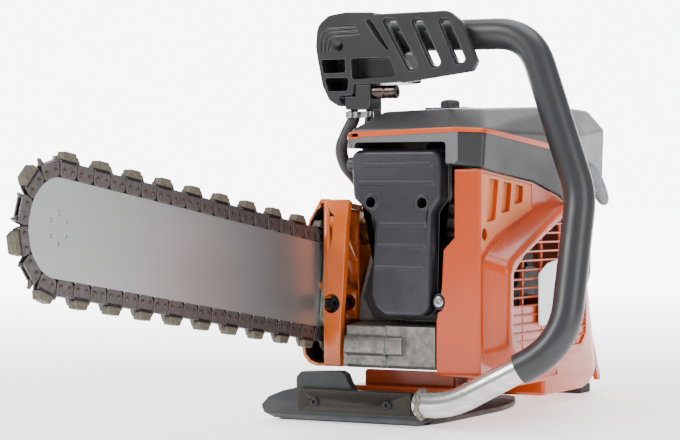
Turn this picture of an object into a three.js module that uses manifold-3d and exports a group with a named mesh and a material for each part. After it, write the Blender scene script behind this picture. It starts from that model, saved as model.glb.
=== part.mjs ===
// Hand-held petrol cutter with a diamond chain on a guide bar, for cutting concrete and masonry.
// Millimetres. +X points forward along the bar, +Y to the operator's left, +Z up.
// The origin is on the ground, on the skid plate's flat underside, straight below the crank axis.
import * as THREE from 'three';
import { ConvexGeometry } from 'three/addons/geometries/ConvexGeometry.js';
import { mergeVertices } from 'three/addons/utils/BufferGeometryUtils.js';
import Module from 'manifold-3d';

const wasm = await Module();
wasm.setup();

// ---- Driving dimensions -------------------------------------------------------------------
const CRANK_Z = 109.4;
const SPLIT_Y = -20;
const GAP = 0.3;
const ROUND = 20;

const BAR_TILT = THREE.MathUtils.degToRad(8);
const BAR_Y = -92.3;
const BAR_REACH = 517.7;
const BAR_HALF = 38.2;
const BAR_THICK = 4.6;
const BAR_TAIL = 50;
const BAR_STUDS = [64, 92];

const LINK_COUNT = 56;
const SPROCKET_TEETH = 8;
const NOSE_TEETH = 12;
const CHAIN_PITCH = 22.556;
const SPROCKET_RADIUS = SPROCKET_TEETH * CHAIN_PITCH / (2 * Math.PI);
const RIVET_HEIGHT = 5.5;
const PLATE_RISE = 7.3;
const SEGMENT_RISE = 14.5;
const PLATE_DROP = 5.2;
const CHAIN_WIDTH = 5.6;
const RAIL_END = 70;

const MOUTH_X = 104;
const COVER_FRONT = 112;
const SIDE_Y = 75;
const GRILLE_Y = 96;
const MUFFLER_FRONT = 105;
const MUFFLER_BACK = 78;

const TUBE_RADIUS = 11.5;
const SLEEVE_RADIUS = 14;
const SLEEVE_BORE = 11.9;

const STROKE_HALF = 19;
const BORE_RADIUS = 28;
const DRUM_RADIUS = 38;

// ---- Making and joining solids ------------------------------------------------------------
const AXES = {
  x: new THREE.Matrix4().makeBasis(
    new THREE.Vector3(0, 1, 0), new THREE.Vector3(0, 0, 1), new THREE.Vector3(1, 0, 0)),
  y: new THREE.Matrix4().makeBasis(
    new THREE.Vector3(1, 0, 0), new THREE.Vector3(0, 0, 1), new THREE.Vector3(0, -1, 0)),
  z: new THREE.Matrix4(),
};

function solidOf(geometry) {
  const bare = geometry.index ? geometry.clone() : geometry;
  bare.deleteAttribute('normal');
  bare.deleteAttribute('uv');
  const merged = mergeVertices(bare, 1e-4);
  return new wasm.Manifold(new wasm.Mesh({
    numProp: 3,
    vertProperties: new Float32Array(merged.attributes.position.array),
    triVerts: new Uint32Array(merged.index.array),
  }));
}

function geometryOf(solid) {
  const mesh = solid.getMesh();
  const geometry = new THREE.BufferGeometry();
  const positions = new Float32Array(mesh.numVert * 3);
  for (let i = 0; i < mesh.numVert; i += 1) {
    for (let k = 0; k < 3; k += 1) {
      positions[3 * i + k] = mesh.vertProperties[mesh.numProp * i + k];
    }
  }
  geometry.setAttribute('position', new THREE.BufferAttribute(positions, 3));
  geometry.setIndex(new THREE.BufferAttribute(new Uint32Array(mesh.triVerts), 1));
  geometry.computeVertexNormals();
  return geometry;
}

const join = (first, ...others) => others.reduce((sum, next) => sum.add(next), first);
const cut = (body, ...tools) => tools.reduce((rest, tool) => rest.subtract(tool), body);

// A prism along x, y or z. Its outline is in (Y,Z), (X,Z) or (X,Y); bevel rounds both ends.
function prism(axis, outline, from, to, bevel = 0) {
  const shape = new THREE.Shape(outline.map(([u, v]) => new THREE.Vector2(u, v)));
  const geometry = new THREE.ExtrudeGeometry(shape, {
    depth: to - from - 2 * bevel,
    bevelEnabled: bevel > 0,
    bevelThickness: bevel,
    bevelSize: bevel,
    bevelOffset: -bevel,
    bevelSegments: 1,
  });
  geometry.translate(0, 0, bevel);
  geometry.applyMatrix4(AXES[axis]);
  const along = { x: [from, 0, 0], y: [0, to, 0], z: [0, 0, from] }[axis];
  geometry.translate(...along);
  return solidOf(geometry);
}

const rectangle = (u0, u1, v0, v1) => [[u0, v0], [u1, v0], [u1, v1], [u0, v1]];
const box = (x0, x1, y0, y1, z0, z1) => prism('z', rectangle(x0, x1, y0, y1), z0, z1);

function circle(u, v, radius, sides = ROUND) {
  return Array.from({ length: sides }, (_, i) => {
    const angle = (2 * Math.PI * (i + 0.5)) / sides;
    return [u + radius * Math.cos(angle), v + radius * Math.sin(angle)];
  });
}

const rod = (axis, u, v, radius, from, to, sides = ROUND) =>
  prism(axis, circle(u, v, radius, sides), from, to);

const hull = (points) =>
  solidOf(new ConvexGeometry(points.map((p) => new THREE.Vector3(...p))));

// A hull over flat rings at given heights along one axis.
function loft(axis, rings) {
  const place = { x: (h, u, v) => [h, u, v], y: (h, u, v) => [u, h, v], z: (h, u, v) => [u, v, h] };
  return hull(rings.flatMap(([height, ring]) => ring.map(([u, v]) => place[axis](height, u, v))));
}

// Straight runs through the corners, with a rounded bend of the given radius at each one.
function bentPath(corners, radii) {
  const points = corners.map((c) => new THREE.Vector3(...c));
  const path = new THREE.CurvePath();
  let start = points[0];
  for (let i = 1; i < points.length - 1; i += 1) {
    const inward = points[i].clone().sub(points[i - 1]).normalize();
    const onward = points[i + 1].clone().sub(points[i]).normalize();
    const trim = radii[i - 1] * Math.tan(inward.angleTo(onward) / 2);
    const enter = points[i].clone().addScaledVector(inward, -trim);
    const leave = points[i].clone().addScaledVector(onward, trim);
    path.add(new THREE.LineCurve3(start, enter));
    path.add(new THREE.QuadraticBezierCurve3(enter, points[i], leave));
    start = leave;
  }
  path.add(new THREE.LineCurve3(start, points[points.length - 1]));
  return path;
}

function tube(path, radius, steps, sides, bore = 0) {
  const ring = (r) => circle(0, 0, r, sides).map(([u, v]) => new THREE.Vector2(u, v));
  const section = new THREE.Shape(ring(radius));
  if (bore > 0) {
    section.holes.push(new THREE.Path(ring(bore)));
  }
  return solidOf(new THREE.ExtrudeGeometry(section, { extrudePath: path, steps, bevelEnabled: false }));
}

const object = new THREE.Group();
object.rotation.order = 'XYZ';

function piece(name, finish, solid, parent = object) {
  const mesh = new THREE.Mesh(geometryOf(solid), finish);
  mesh.name = name;
  parent.add(mesh);
  return mesh;
}

// ---- Finishes -----------------------------------------------------------------------------
const finish = (color, roughness, metalness) =>
  new THREE.MeshStandardMaterial({ color, roughness, metalness });
const ORANGE = finish(0xe0692a, 0.35, 0);
const DARK_PLASTIC = finish(0x4b4b4e, 0.5, 0);
const BLACK_PLASTIC = finish(0x1d1d1f, 0.45, 0);
const BLACK_STEEL = finish(0x232326, 0.5, 0.6);
const WORN_STEEL = finish(0x4a443a, 0.6, 0.8);
const CHARCOAL = finish(0x47474c, 0.55, 0.3);
const CAST_ALUMINIUM = finish(0x9a9690, 0.6, 0.9);
const BARE_ALUMINIUM = finish(0xc9c7c2, 0.3, 1);
const BAR_STEEL = finish(0xb5b8b8, 0.35, 0.9);
const CHAIN_STEEL = finish(0x6b625c, 0.45, 0.9);
const DARK_METAL = finish(0x3a3432, 0.3, 0.9);
const ZINC = finish(0xb9a64c, 0.3, 0.9);
const SLEEVE_GREY = finish(0x55575a, 0.45, 0);
const HOSE_GREY = finish(0x5b5b5d, 0.7, 0);
const RUBBER = finish(0x161616, 0.8, 0);
const GRIP_GREY = finish(0x9ba0a5, 0.5, 0);
const WHITE_PLATE = finish(0xe3e8ec, 0.4, 0);
const PAPER = finish(0xd8cfae, 0.9, 0);
const BRONZE = finish(0x8c6d3f, 0.5, 0.9);

// ---- Skid plate, wear plate and the front handle tube welded to the skid ------------------
const SKID_THICK = 5;
const SKID_FRONT = 121;
const WALL_END_Y = 15;
const WEAR_BACK = SKID_FRONT + GAP;
const WEAR_FRONT = 127;
const WEAR_SCREWS = [[-81, 20], [-8, 20]];

const skidSheet = prism('z', [
  [108, -128], [108, 12], [84, 20], [60, 22], [-56, 22], [-100, 14], [-132, 2], [-158, -10],
  [-167, -22], [-168, -44], [-160, -84], [-140, -108], [-100, -120], [0, -125],
], 0, SKID_THICK);
const skidBend = prism('y', [
  [98, 0], [110, 1.6], [117, 6], [120.5, 13], [SKID_FRONT, 20], [SKID_FRONT, 31], [116, 31],
  [115.5, 18], [112, 9.5], [106, SKID_THICK], [98, SKID_THICK],
], -143, WALL_END_Y);
const skidEnd = prism('x', [
  [WALL_END_Y + 1, -1], [WALL_END_Y + 1, 32], [-100, 32], [-118, 28], [-133, 22], [-141, 14],
  [-140, 7], [-133, 1.5], [-125, -1],
], 90, 125);
const skidFlange = prism('x', [
  [-104, 26], [-104, 41], [-99, 46], [-59, 47.5], [-54, 45], [-51, 38], [-46, 30], [-46, 26],
], 110, SKID_FRONT);
let skid = join(skidSheet, skidBend.intersect(skidEnd), skidFlange);
let wearPlate = box(WEAR_BACK, WEAR_FRONT, -99, WALL_END_Y - 0.5, 10, 31);
for (const [y, z] of WEAR_SCREWS) {
  skid = cut(skid, rod('x', y, z, 3, 105, 125, 12));
  wearPlate = cut(wearPlate, rod('x', y, z, 3, 120, 130, 12));
}
piece('skid_plate', BLACK_STEEL, skid);
piece('wear_plate', WORN_STEEL, wearPlate);
WEAR_SCREWS.forEach(([y, z], i) => {
  const shank = rod('x', y, z, 2.6, 108, WEAR_FRONT + 1, 12);
  const head = rod('x', y, z, 4.7, WEAR_FRONT + GAP, WEAR_FRONT + 3.4, 16);
  const drive = rod('x', y, z, 2, WEAR_FRONT + 1.6, WEAR_FRONT + 4, 6);
  piece(['wear_plate_screw_right', 'wear_plate_screw_left'][i], BLACK_STEEL,
    cut(join(shank, head), drive));
});

const handleCorners = [
  [116, WALL_END_Y + 2, 21], [121, 50, 21], [108, 152, 76], [65, 150, 206], [50, 95, 350],
  [51, -72, 351],
];
const handlePath = bentPath(handleCorners, [70, 62, 80, 46]);
const HANDLE_STEPS = 30;
const SLEEVE_START = 0.175;
const SLEEVE_END = 0.955;
// The sleeve's line is read off the tube's own sampled line, so that their facets stay parallel.
class PartOfPath extends THREE.Curve {
  constructor(path, from, to) {
    super();
    this.path = path;
    this.from = from;
    this.to = to;
  }

  getPoint(t, target = new THREE.Vector3()) {
    return target.copy(this.path.getPointAt(this.from + (this.to - this.from) * t));
  }
}
const bareTube = tube(handlePath, TUBE_RADIUS, HANDLE_STEPS, 10);
const sleeveLine = new PartOfPath(handlePath, SLEEVE_START, SLEEVE_END);
const sleeveSteps = Math.round(HANDLE_STEPS * (SLEEVE_END - SLEEVE_START));
const sleeveSkin = tube(sleeveLine, SLEEVE_RADIUS, sleeveSteps, 10);
const sleeveCore = tube(handlePath, SLEEVE_BORE, HANDLE_STEPS, 10);
piece('front_handle_tube', BARE_ALUMINIUM, bareTube);
piece('handle_sleeve', SLEEVE_GREY, cut(sleeveSkin, sleeveCore));

// ---- Hand guard on the top of the handle --------------------------------------------------
const GUARD_FRONT = 77;
const GUARD_BACK = 34;
const guardHousing = prism('x', [
  [-108, 340], [-106.5, 361], [-99, 369.5], [-77, 373], [-49, 372], [-26, 334], [-19, 308],
  [-36, 307], [-68, 306.6], [-69, 297], [-85, 296], [-79, 287], [-84, 287], [-94, 296.5],
  [-101, 309], [-106, 332],
], GUARD_BACK, GUARD_FRONT, 2);
const guardPanel = prism('x', [
  [-52, 368], [-40, 371.5], [24, 369.5], [31, 367], [37, 359], [55, 323], [55.5, 318], [51, 315],
  [-19, 307], [-26, 310],
], 70, GUARD_FRONT);
const SLOTS = [
  [[-38, 364], [-26, 364], [-2, 318], [-11, 315]],
  [[-11, 363], [0, 363], [21, 320], [12, 317]],
  [[16, 362], [28, 362], [45, 322], [36, 319]],
];
const slotTools = SLOTS.map((corners) => prism('x', [...corners].reverse(), 60, 80));
piece('hand_guard', BLACK_PLASTIC, cut(
  join(guardHousing, guardPanel),
  ...slotTools,
  box(46, 80, -102, -77, 315, 329),
  box(46, 80, -100, -75, 299.5, 311),
  prism('x', [[-70, 312], [-24, 312], [-30, 329], [-70, 329]], 52, 80),
  rod('y', 50.5, 350.6, SLEEVE_RADIUS + 1.1, -74, 20),
  rod('x', -84, 342, 4.6, 60, 80, 16),
  rod('x', -84, 342, 2.6, 40, 80, 12),
));
piece('hand_guard_screw', BLACK_STEEL, cut(
  join(rod('x', -84, 342, 4.1, 66, 70, 16), rod('x', -84, 342, 2.2, 44, 67, 12)),
  rod('x', -84, 342, 1.9, 68, 71, 6),
));

// ---- Water valve, its fittings, hoses and the steel stay beside it ------------------------
const HOSE_X = 66;
const THICK_HOSE_Y = -73;
const THIN_HOSE_Y = -58;
piece('water_valve', BLACK_PLASTIC, cut(
  join(
    loft('z', [
      [283.6, rectangle(56, 76, -77, -53)], [288, rectangle(52, 76, -78, -52)],
      [295.4, rectangle(52, 76, -78, -52)],
    ]),
    box(60, 76, -67, -52, 295, 306.2),
    rod('z', HOSE_X, THICK_HOSE_Y, 3.4, 274, 284, 12),
    rod('z', HOSE_X, THIN_HOSE_Y, 1.9, 276, 284, 10),
  ),
  rod('y', 68, 299.5, 4, -64, -50, 14),
  rod('x', -66.6, 289.5, 2.9, 50, 57, 12),
));
piece('water_valve_lever', ZINC, join(
  rod('x', -66.6, 289.5, 2.3, 48, 56, 12),
  box(47, 51.4, -68.9, -64.3, 270, 289.5),
  rod('x', -66.6, 289.5, 2.3, 47, 51.4, 12),
));
piece('water_nipple', DARK_METAL, cut(
  join(
    rod('y', 68, 299.5, 3.6, -63, -50, 14),
    rod('y', 68, 299.5, 6.3, -51.6, -40, 16),
    rod('y', 68, 299.5, 5.4, -41, -38, 16),
    rod('y', 68, 299.5, 6.2, -39, -28, 16),
  ),
  rod('y', 68, 299.5, 2.4, -60, -27, 12),
));
const thickHosePath = new THREE.CatmullRomCurve3([
  [HOSE_X, THICK_HOSE_Y, 282.4], [67, -74, 274], [70, -79, 262], [72, -83.5, 248], [69, -81, 233],
  [60, -75, 221], [51, -72.5, 212], [43, -70.5, 204], [42, -70, 194],
].map((p) => new THREE.Vector3(...p)));
const thinHosePath = new THREE.CatmullRomCurve3([
  [HOSE_X, THIN_HOSE_Y, 283], [65, -60, 272], [60, -64.5, 258], [54, -68, 240], [46, -68.6, 226],
  [34, -68.6, 214],
].map((p) => new THREE.Vector3(...p)));
piece('water_hose', HOSE_GREY,
  cut(tube(thickHosePath, 5.8, 20, 10), rod('z', HOSE_X, THICK_HOSE_Y, 3.7, 273, 290, 12)));
piece('bleed_hose', RUBBER,
  cut(tube(thinHosePath, 3, 16, 8), rod('z', HOSE_X, THIN_HOSE_Y, 2.2, 275, 290, 10)));
const clampRing = (y, outer, inner) => cut(
  join(rod('z', HOSE_X, y, outer, 276, 282, 16), box(HOSE_X + outer - 1, HOSE_X + outer + 4, y - 3, y + 3, 276, 282)),
  rod('z', HOSE_X, y, inner, 270, 290, 16),
);
piece('water_hose_clamp', BAR_STEEL, clampRing(THICK_HOSE_Y - 0.4, 7.9, 6.9));
piece('bleed_hose_clamp', BAR_STEEL, clampRing(THIN_HOSE_Y - 0.6, 4.8, 4.1));
piece('water_elbow', ZINC, cut(
  join(
    rod('y', 42, 172, 13, -75.6, -64.2, ROUND),
    rod('z', 42, -69.9, 5.6, 180, 192.4, 14),
  ),
  rod('y', 42, 172, 8, -70, -60, 16),
));
piece('handle_stay', WORN_STEEL, prism('y', [
  [51.4, 306], [34, 306], [34, 225], [16, 190], [16, 140], [40, 140], [40, 182], [51.4, 215],
], -63.8, -61.3));

// ---- Chassis with fuel tank, rear handle and its controls ---------------------------------
const TANK_BACK = -300;
const tank = loft('z', [
  [10, [[-113, -50], [-113, 38], [-215, 38], [-292, 16], [-296, -50]]],
  [22, [[-108, -56], [-108, 45], [-228, 45], [TANK_BACK, 20], [TANK_BACK, -56]]],
  [130, [[-112, -56], [-112, 40], [-222, 40], [-268, 16], [-272, -56]]],
]);
const tray = join(
  prism('z', [[-113, -58], [88, -66], [92, -62], [92, 0], [84, 54], [-113, 54]], 28, 33),
  prism('z', [[-113, 46], [80, 46], [76, 54], [-113, 54]], 32, 43),
  box(66, 70, -60, 30, 32, 46),
  box(-113, -90, -50, 50, 15, 46),
);
const tankRoom = loft('z', [
  [17, [[-118, -46], [-118, 34], [-212, 34], [-284, 13], [-288, -46]]],
  [121, [[-117, -50], [-117, 34], [-219, 34], [-264, 12], [-267, -50]]],
]);
const finPlate = prism('y', [[-262, 96], [-305, 12], [-296, 12], [-250, 96]], 19, 24);
piece('chassis_tank', ORANGE, cut(join(tank, tray, finPlate),
  rod('y', -200, 84, 15, -60, -40), tankRoom, rod('z', -238, 18, 11.8, 125.5, 135, 16)));
piece('fuel_cap', BLACK_PLASTIC, join(
  rod('y', -200, 84, 21, -69, -56.4),
  rod('y', -200, 84, 14, -57, -46),
  box(-219, -181, -73, -68.5, 80, 88),
));
piece('rear_foot', RUBBER, box(-292, -262, -46, 18, 0, 9.7));

const HANDLE_Y = [-43, -8];
const handleFrame = prism('y', [
  [-256, 246], [-310, 237], [-346, 216], [-357, 198], [-356, 122], [-340, 98], [-287, 90],
  [-273, 130.6], [-256, 130.6],
].reverse(), HANDLE_Y[0], HANDLE_Y[1], 4);
const fingerHole = prism('y', [
  [-276, 207], [-300, 205], [-328, 192], [-337, 180], [-337, 130], [-328, 118], [-294, 112],
  [-282, 138], [-276, 146],
].reverse(), -60, 10);
piece('rear_handle', DARK_PLASTIC, cut(handleFrame, fingerHole,
  box(-319, -276.5, -32, -19, 190, 220.5),
  box(-304, -264, -30, -21, 223.5, 252)));
piece('throttle_trigger', BLACK_PLASTIC, prism('y', [
  [-279, 218], [-288, 218], [-309, 206], [-311, 196], [-303, 190], [-291, 197], [-279, 207],
].reverse(), -31, -20));
piece('throttle_lockout', BLACK_PLASTIC, prism('y', [
  [-266, 232], [-300, 229.5], [-300, 241], [-286, 249], [-266, 247],
].reverse(), -29.4, -21.6));
piece('stop_switch', finish(0xb3261e, 0.4, 0), box(-271, -262, -7.7, -4.2, 226, 233));
piece('choke_knob', BLACK_PLASTIC, join(
  rod('x', 24, 244, 3, -266, -240, 12),
  rod('x', 24, 244, 9, -272, -258, 16),
));
piece('purge_bulb', RUBBER, loft('z', [
  [130.3, circle(-238, 18, 11, 16)], [135, circle(-238, 18, 10, 16)], [139, circle(-238, 18, 6, 16)],
]));

// ---- Crankcase, crank, piston and cylinder ------------------------------------------------
const caseOutline = [
  [-78, 50], [103, 50], [105, 53], [105, 88], [69, 91], [69, 118], [52, 150], [46, 160],
  [-46, 160], [-58, 140], [-72, 110], [-78, 80],
];
const crankRoom = rod('y', 0, CRANK_Z, 43, -46, 6, 28);
const deckHole = rod('z', 0, SPLIT_Y, BORE_RADIUS + 1, CRANK_Z, 165, 24);
const bearingBore = rod('y', 0, CRANK_Z, 13, -80, 40, 16);
const frontPad = (y0, y1) => prism('y', [[104, 61], [109, 63], [110.5, 66], [110.5, 75], [109, 78], [104, 80]], y0, y1);
const armBosses = [[78, 72], [-52, 78], [30, 62]].map(([x, z]) => rod('y', x, z, 8, -75.7, -60, 14));
piece('crankcase_right', CAST_ALUMINIUM, cut(
  join(
    prism('y', caseOutline, -61, SPLIT_Y - 0.15),
    frontPad(-61, SPLIT_Y - 0.15),
    rod('y', 0, CRANK_Z, 24, -63.4, -60),
    prism('x', [[-67, 90], [-66, 112], [-54, 156], [-30, 156], [-30, 90]], 60, 69),
    ...armBosses,
  ),
  crankRoom, deckHole, bearingBore,
));
piece('crankcase_left', CAST_ALUMINIUM, cut(
  join(prism('y', caseOutline, SPLIT_Y + 0.15, 28), frontPad(SPLIT_Y + 0.15, -3)),
  crankRoom, deckHole, bearingBore,
));
piece('crankshaft', BAR_STEEL, join(
  rod('y', 0, CRANK_Z, 12, -60, -40, 16),
  rod('y', 0, CRANK_Z, 38, -45, -31, 24),
  rod('y', 0, CRANK_Z + STROKE_HALF, 8, -32, -8, 16),
  rod('y', 0, CRANK_Z, 38, -9, 5, 24),
  rod('y', 0, CRANK_Z, 12, 0, 27, 16),
  rod('y', 0, CRANK_Z, 8, -100, -58, 16),
  rod('y', 0, CRANK_Z, 8, 26, 58, 16),
));
const PISTON_CROWN = 222;
const SMALL_END_Z = 200;
const ROD_FOOT_Z = CRANK_Z + STROKE_HALF + 9.5;
piece('connecting_rod', BAR_STEEL, cut(
  join(
    rod('y', 0, SMALL_END_Z, 10, -28, -12, 16),
    loft('z', [
      [ROD_FOOT_Z, rectangle(-11, 11, -27, -13)], [ROD_FOOT_Z + 9, rectangle(-6, 6, -25, -15)],
      [SMALL_END_Z - 5, rectangle(-5, 5, -25, -15)],
    ]),
  ),
  rod('y', 0, SMALL_END_Z, 6.2, -40, 0, 14),
));
piece('piston', BARE_ALUMINIUM, cut(
  join(
    cut(rod('z', 0, SPLIT_Y, BORE_RADIUS - 0.4, 182, PISTON_CROWN, 24),
      rod('z', 0, SPLIT_Y, BORE_RADIUS - 5, 170, PISTON_CROWN - 6, 20)),
    rod('y', 0, SMALL_END_Z, 5.8, SPLIT_Y - 25, SPLIT_Y + 25, 14),
  ),
));
const fins = Array.from({ length: 6 }, (_, i) => box(-41, 41, -52.4, 18, 170.7 + 12.6 * i, 173.8 + 12.6 * i));
piece('cylinder', CAST_ALUMINIUM, cut(
  join(
    rod('z', 0, SPLIT_Y, 32.5, 160.4, 243, 20),
    box(-40, 40, -51, 15, 160.4, 166.2),
    rod('x', SPLIT_Y, 206, 16, 30, 45, 14),
    rod('x', SPLIT_Y, 200, 15, -45, -30, 14),
    ...fins,
  ),
  rod('z', 0, SPLIT_Y, BORE_RADIUS, 150, 227, 24),
  rod('z', 0, SPLIT_Y, 6.6, 220, 250, 12),
  rod('x', SPLIT_Y, 206, 9, 20, 50, 12),
  rod('x', SPLIT_Y, 200, 9, -50, -20, 12),
));
piece('spark_plug', BLACK_PLASTIC, join(
  rod('z', 0, SPLIT_Y, 6.2, 230, 244, 12),
  rod('z', 0, SPLIT_Y, 10.5, 243.4, 252, 6),
  rod('z', 0, SPLIT_Y, 8.5, 251, 272, 14),
));
piece('decompression_valve', BLACK_PLASTIC, join(
  rod('z', 36, 10, 2.8, 249, 290, 10),
  rod('z', 36, 10, 8.5, 288.2, 293, 18),
));

// ---- Muffler and the shield behind it -----------------------------------------------------
const mufflerBody = prism('x', [
  [-52, 246], [-57, 240], [-55, 203], [-38, 188], [-33, 180], [-37, 116], [-33, 105], [-23, 97],
  [14, 97], [22, 104], [24, 190], [33, 202], [33, 240], [28, 246],
].reverse(), MUFFLER_BACK, MUFFLER_FRONT, 4);
const RIBS = [[232.5, -31, 29], [216, -53, 30], [179, -26, 21], [159.5, -30, 18], [140, -32, 16]];
const ribBars = RIBS.map(([z, y0, y1]) => rod('y', MUFFLER_FRONT - 1.6, z, 3, y0 + 2, y1 - 2, 8));
const MUFFLER_HOLES = [[-36, 199], [15, 198.5]];
const rims = MUFFLER_HOLES.map(([y, z]) => rod('x', y, z, 7.6, 98, MUFFLER_FRONT + 1.2, 18));
const wells = MUFFLER_HOLES.map(([y, z]) => rod('x', y, z, 5.6, 84, 110, 18));
piece('muffler', CHARCOAL, cut(
  join(
    mufflerBody, ...ribBars, ...rims,
    rod('y', 98, 233.5, 9, -61, -38, 16),
    rod('x', SPLIT_Y, 206, 15, 45.4, 80, 14),
  ),
  ...wells,
  rod('x', SPLIT_Y, 206, 9, 40, 90, 12),
  box(81, 100, -25, 6, 112, 228),
));
piece('muffler_shield', BLACK_STEEL, cut(
  join(
    prism('x', [[-60, 112], [-49, 92.5], [36, 92.5], [38, 124], [20, 152], [-48, 152]], 70.5, 74),
    rod('x', 31, 111, 7.4, 73, 101, 16),
  ),
  rod('x', 31, 111, 3, 76, 110, 12),
  rod('x', SPLIT_Y, 206, 17, 60, 80),
));
piece('muffler_screw', BAR_STEEL, cut(
  join(rod('x', 31, 111, 2.6, 80, 102, 12), rod('x', 31, 111, 4.8, 101.3, 105, 16)),
  rod('x', 31, 111, 2.1, 103, 106, 6),
));

// ---- Carburettor and air filter -----------------------------------------------------------
piece('carburettor', BARE_ALUMINIUM, cut(
  join(
    box(-96, -58, -42, 2, 184, 218),
    rod('x', SPLIT_Y, 200, 14, -60, -45.4, 16),
    rod('x', SPLIT_Y, 200, 14, -103, -95, 16),
    rod('z', -77, SPLIT_Y, 5, 178, 185, 12),
  ),
  rod('x', SPLIT_Y, 200, 10, -110, -40, 16),
));
const PLEATS = 9;
const pleated = Array.from({ length: 2 * PLEATS + 1 }, (_, i) =>
  [-186 + (78 / (2 * PLEATS)) * i, i % 2 ? 266 : 259]);
piece('air_filter', PAPER, cut(
  prism('y', [[-186, 196], [-108, 196], ...pleated.reverse()], -48, 40),
  box(-180, -104, -38, 30, 190, 240),
));

// ---- Top cover and air filter cover -------------------------------------------------------
const coverOuter = hull([
  [78, -36, 281], [84, 34, 283], [60, 52, 283], [-100.2, 60, 290], [-100.2, -44, 289],
  [112, -52, 264], [112, 50, 265], [101, 74, 262], [-100.2, 79, 262], [-100.2, -60, 262],
  [104, -60, 258],
  [112, -56, 247], [112, 50, 233], [103, SIDE_Y - 2, 229], [-4, SIDE_Y, 218.5], [-69, SIDE_Y, 204],
  [-100.2, SIDE_Y, 196], [104, -60, 246], [-100.2, -60, 214], [100, -60, 230], [112, -50, 235],
]);
const coverInner = hull([
  [76, -34, 277.5], [82, 32, 279.5], [60, 48, 279.5], [-104, 56, 286], [-104, -41, 285],
  [108.5, -49, 261], [108.5, 48, 262], [98.5, 71, 260], [-104, 75.5, 260], [-104, -57, 260],
  [108.5, -53, 200], [108.5, 48, 200], [99.5, 71.5, 200], [-104, 71.5, 180], [-104, -57, 180],
]);
piece('cylinder_cover', DARK_PLASTIC, join(
  cut(coverOuter, coverInner,
    box(100, 120, -49, 41, 200, 252.5),
    box(72, 120, -70, 41, 190, 247.3),
    prism('y', [
      [113, 150], [113, 229.2], [-4, 218.3], [-69, 203.9], [-101, 190.7], [-101, 150],
    ].reverse(), 28, 82),
    rod('z', 36, 10, 3.6, 270, 295, 12)),
  cut(box(24, 48, -9, 28, 279, 284.6), rod('z', 36, 10, 3.6, 270, 295, 12)),
));
const filterOuter = hull([
  [-100.6, 60, 290], [-100.6, -44, 289], [-190, 54, 289], [-190, -40, 288],
  [-100.6, 79, 262], [-100.6, -60, 262], [-205, 66, 270], [-205, -52, 268], [-236, 34, 276],
  [-236, -30, 275], [-250, 38, 258], [-250, -34, 258], [-253, 36, 236], [-253, -34, 236],
  [-100.6, SIDE_Y, 196.5], [-100.6, -60, 214], [-205, 64, 212], [-205, -52, 214], [-253, 34, 228],
  [-253, -34, 228],
]);
const filterInner = hull([
  [-98, 56, 286], [-98, -41, 285], [-188, 51, 285], [-188, -37, 284], [-98, 75.5, 260],
  [-98, -57, 260], [-203, 62.5, 267], [-203, -49, 265], [-233, 32, 272], [-233, -28, 271],
  [-247, 35, 256], [-247, -31, 256], [-98, 71.5, 180], [-98, -57, 180], [-203, 61, 180],
  [-203, -49, 180], [-249.5, 32, 180], [-249.5, -31, 180],
]);
piece('air_filter_cover', DARK_PLASTIC,
  cut(filterOuter, filterInner, rod('x', 24, 244, 4, -270, -230, 12)));

// ---- Starter cover, flywheel, starter pulley, rope and grip -------------------------------
const starterOutline = [
  [COVER_FRONT, 46], [COVER_FRONT, 228.5], [-4, 217.6], [-69, 203.2], [-100, 190], [-106, 178],
  [-106, 60], [-92, 47], [96, 44],
].reverse();
const voluteOuter = loft('y', [
  [66, [[112, 64], [112, 152], [-4, 187], [-80, 200], [-106, 178], [-106, 60], [-92, 47], [96, 47]]],
  [GRILLE_Y, [[90, 74], [88, 150], [80, 156], [-22, 189], [-60, 192], [-88, 172], [-88, 70], [-72, 56],
    [76, 62]]],
]);
const starterInner = prism('y', [
  [109, 49], [109, 240], [-4, 240], [-69, 240], [-103, 240], [-103, 60], [-91, 50],
].reverse(), 20, SIDE_Y - 2.8);
const voluteInner = loft('y', [
  [65, [[106, 66], [106, 150], [-4, 184], [-78, 196], [-103, 176], [-103, 61], [-91, 50], [94, 50]]],
  [GRILLE_Y - 2.6, [[87.5, 76], [85.5, 149], [79, 153.5], [-22, 186], [-59, 189], [-85, 171], [-85, 71],
    [-71, 59], [75, 65]]],
]);
const pullAxis = new THREE.Vector3(-0.557, 0.5, 0.663).normalize();
const gripCentre = new THREE.Vector3(-98, 100, 216);
const alongPull = (distance) => gripCentre.clone().addScaledVector(pullAxis, distance);
const pullRod = (from, to, radius, sides) =>
  tube(new THREE.LineCurve3(alongPull(from), alongPull(to)), radius, 1, sides);
const GRILLE_ROWS = 7;
const GRILLE_PITCH = 16.4;
const GRILLE_COLUMNS = [[20, 56], [-26, 16], [-72, -30]];
const grilleHoles = [];
for (let row = 0; row < GRILLE_ROWS; row += 1) {
  const low = 78 + GRILLE_PITCH * row;
  for (const [left, right] of [[60, 78], ...GRILLE_COLUMNS]) {
    const roof = 150 + (80 - right) * 0.34;
    if (low + 11.5 < roof && low + 11.5 < 184) {
      grilleHoles.push(box(left, right, 90, 100, low, low + 11.5));
    }
  }
}
const sideSlots = [[90, 74, 214, 182], [64, 51, 212, 190], [42, 30, 209, 196]].map(([x0, x1, top, low]) =>
  prism('y', [[x1, low - 4], [x0, low], [x0, top], [x1, top - 1]].reverse(), 70, 78));
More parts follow.
